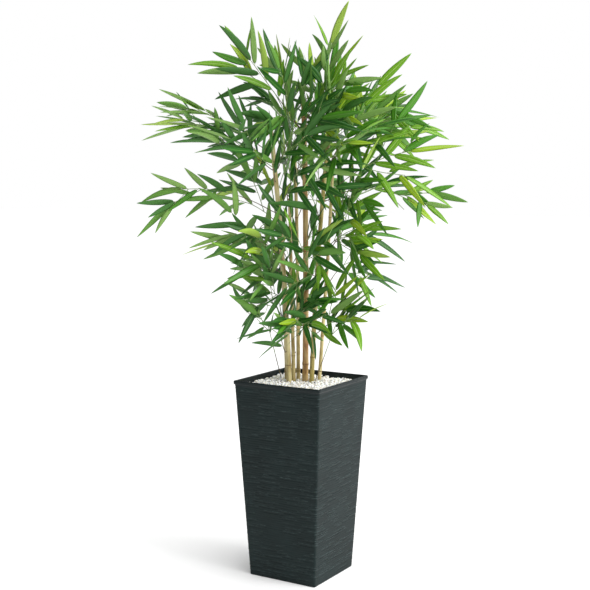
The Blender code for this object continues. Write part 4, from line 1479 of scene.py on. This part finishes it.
def blade_faces():
    """The faces of a leaf's two skins, and what each belongs to: 0 the skin above, 1 the skin below,
    2 the midrib as seen from above."""
    columns = len(LEAF_COLUMNS)
    middle = columns // 2 - 1
    ring = 2 * columns - 2

    def upper(row):
        return [1 + row * ring + i for i in range(columns)]

    def under(row):
        first = 1 + row * ring
        return [first, *(first + columns + i for i in range(columns - 2)), first + columns - 1]

    rows, tip = len(LEAF_STATIONS), 1 + len(LEAF_STATIONS) * ring
    faces, skins = [], []
    for skin, line in ((0, upper), (1, under)):
        for a, b in zip(line(0), line(0)[1:]):
            faces.append((0, b, a) if skin else (0, a, b))
        for row in range(rows - 1):
            low, high = line(row), line(row + 1)
            for i in range(columns - 1):
                face = (low[i], high[i], high[i + 1], low[i + 1])
                faces.append(tuple(reversed(face)) if skin else face)
        for a, b in zip(line(rows - 1), line(rows - 1)[1:]):
            faces.append((a, b, tip) if skin else (b, a, tip))
        one_row = [2 if i == middle and not skin else skin for i in range(columns - 1)]
        skins.extend(one_row * (rows + 1))
    return faces, skins


def dye_of(spray, leaf, at_tip):
    """Which dye a leaf's cloth has: each spray has its own age, and the leaves at its tips and
    further out are younger."""
    youth, _ = spray_habit(spray)
    youth += TIP_YOUTH * at_tip + OUTWARD_YOUTH * (leaf.base.xy.length - MIDDLE_REACH)
    youth = max(0.0, min(1.0, youth))
    shares = [between((dye.old, dye.young), youth) for dye in DYES]
    return draws_for(leaf.key, "dye").choices(range(len(DYES)), shares)[0]


def leaf_stalk(leaf, stalks):
    """The short pale stalk of a leaf, and the sheath that wraps it to its twig."""
    start = leaf.base
    end = leaf.base + leaf.along * leaf.length * (LEAF_STALK + STALK_LAP)
    spots = [start, start.lerp(end, STALK_WAIST), end]
    stalks.add(*rod(spots, STALK_RADII, STALK_SIDES, cut=False))


def add_twig(twig, wires, is_stem):
    """One twig as a round wire with small knots at even steps. A stem starts in its cane, and its
    first half or so is bark brown."""
    points = list(twig.points)
    if is_stem:
        points[0] = points[0] - (points[1] - points[0]).normalized() * STEM_SUNK
    line = flowing(points, WIRE_STEPS)
    last = len(line) - 1
    radii = []
    for i in range(last + 1):
        radius = twig.radii[0] + (twig.radii[1] - twig.radii[0]) * i / last
        radii.append(radius * WIRE_SWELLS[i % len(WIRE_SWELLS)])
    shape_points, faces = rod(line, radii, WIRE_SIDES, cut=False)
    brown = WIRE_SIDES * round(last * STEM_BROWN) if is_stem else 0
    wires.add(shape_points, faces, [0] * brown + [1] * (len(faces) - brown))


def bare_end(spray, stem, wires):
    """The uncovered end of a stem's wire, where the maker left it long: thin, and bent a little."""
    draws = draws_for(spray.name, "bare end")
    ahead = (stem.points[-1] - stem.points[-2]).normalized()
    aside = ahead.orthogonal().normalized()
    aside = Matrix.Rotation(draws.uniform(0, 2 * math.pi), 3, ahead) @ aside
    reach = BARE_END * draws.uniform(*BARE_END_LENGTHS)
    start = stem.points[-1] - ahead * BARE_END_LAP
    shares = [i / (len(BARE_END_RADII) - 1) for i in range(len(BARE_END_RADII))]
    line = [start + ahead * reach * t + aside * reach * BARE_END_BEND * t * t for t in shares]
    wires.add(*rod(line, BARE_END_RADII, WIRE_SIDES, cut=False))


def grow_sprays(wire_finishes, sheath):
    """Every spray: its leaves go by dye into four pieces, its twigs and its stalks into two more."""
    spaces = {name: node_space(name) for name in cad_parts}
    leaf_pieces = []
    for dye in DYES:
        blade = leaf_fabric(dye.name + "_green_leaf", dye.blade, dye.roughness)
        underside = leaf_fabric(dye.name + "_underside", dye.underside, UNDERSIDE_ROUGHNESS)
        midrib = pressed_midrib(dye.name + "_midrib", dye.midrib)
        leaf_pieces.append(Gathered("leaves_" + dye.name, "leaf_fabric", blade, underside, midrib))
    wires = Gathered("twigs", "leaf_fabric", *wire_finishes)
    stalks = Gathered("leaf_stalks", "leaf_fabric", sheath)
    faces, skins = blade_faces()
    fine_spaces = []
    for spray in [*DISPLAY_SPRAYS, *back_sprays()]:
        twigs, leaves = grow_spray(spray, spaces, fine_spaces)
        for twig in twigs:
            add_twig(twig, wires, twig is twigs[0])
        if spray.name in BARE_ENDS:
            bare_end(spray, twigs[0], wires)
        for leaf, at_tip in leaves:
            points, places = leaf_blade(leaf)
            leaf_pieces[dye_of(spray, leaf, at_tip)].add(points, faces, skins, places)
            leaf_stalk(leaf, stalks)
    nodes = [name for name in spaces if name.startswith("spray_")]
    for gathered in [*leaf_pieces, wires, stalks]:
        gathered.as_piece(nodes)


# The studio


def set_camera():
    """The camera of the photograph."""
    data = bpy.data.cameras.new("camera")
    data.lens = CAMERA_LENS
    data.sensor_width = CAMERA_SENSOR
    camera = put_in_scene("camera", data)
    camera.location = CAMERA_PLACE
    camera.rotation_euler = (math.pi / 2 - CAMERA_PITCH, 0.0, CAMERA_AZIMUTH)
    bpy.context.scene.camera = camera


def softbox(name, place, size, power):
    """A large soft light that faces the plant."""
    data = bpy.data.lights.new(name, "AREA")
    data.shape = "SQUARE"
    data.size = size
    data.energy = power
    lamp = put_in_scene(name, data)
    lamp.location = place
    lamp.rotation_euler = (place - Vector((0, 0, LIT_HEIGHT))).to_track_quat("Z", "Y").to_euler()


def studio():
    """A pale floor and surround under a wide overhead diffuser, with a key and an edge softbox."""
    _, _, floor_paint = start_finish("pale_floor", "#f5f5f5", 0.8, 1.45)
    mesh = bpy.data.meshes.new("floor")
    corners = [(x * FLOOR_REACH, y * FLOOR_REACH, 0) for x, y in ((-1, -1), (1, -1), (1, 1), (-1, 1))]
    mesh.from_pydata(corners, [], [(0, 1, 2, 3)])
    mesh.materials.append(floor_paint)
    put_in_scene("floor", mesh)
    world = bpy.data.worlds.new("surround")
    world.use_nodes = True
    bpy.context.scene.world = world
    tree = world.node_tree
    surround = tree.nodes["Background"].inputs
    surround["Color"].default_value = colour("#ffffff")
    seen_by_camera = add(tree, "LightPath").outputs["Is Camera Ray"]
    strength = {"Value": seen_by_camera, "To Min": SURROUND, "To Max": 1.0}
    add(tree, "MapRange", strength, surround["Strength"])
    data = bpy.data.lights.new("diffuser", "SUN")
    data.energy = DIFFUSER
    data.angle = DIFFUSER_WIDTH
    diffuser = put_in_scene("diffuser", data)
    diffuser.rotation_euler = seen(*DIFFUSER_WAY).to_track_quat("Z", "Y").to_euler()
    for name, (place, size, power) in SOFTBOXES.items():
        softbox(name, seen(*place), size, power)
    bpy.context.scene.view_settings.view_transform = "Standard"


def main():
    """Sets the camera and studio, and makes every piece."""
    set_camera()
    studio()
    # The planter's third finish is the painted highlight on its furrows' upper ledges
    planter(furrowed_resin(), smooth_resin(), rubbed_resin())
    pebble_bed([marble(*tones) for tones in MARBLES])
    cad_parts["filling"].data.materials.clear()
    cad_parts["filling"].data.materials.append(cut_foam())
    culms = {name: dried_culm(name + "_culm", *tones) for name, tones in CULMS.items()}
    scar, sawn = joint_scar(), sawn_culm()
    for cane, tone in zip(CANES, CANE_TONES):
        culm = Gathered("culm" + cane.name[-2:], "dried_bamboo", culms[tone], scar, sawn)
        cane_shape(cane, culm)
        branch_stubs(cane, culm)
        culm.as_piece([cane.name], sharp=CANE_EDGE)
    wires = (coated_wire("bark_brown_wire", "#5c4e38"), coated_wire("leaf_green_wire", "#6f8a48"))
    grow_sprays(wires, coated_wire("pale_sheath", "#b4c48e"))


main()
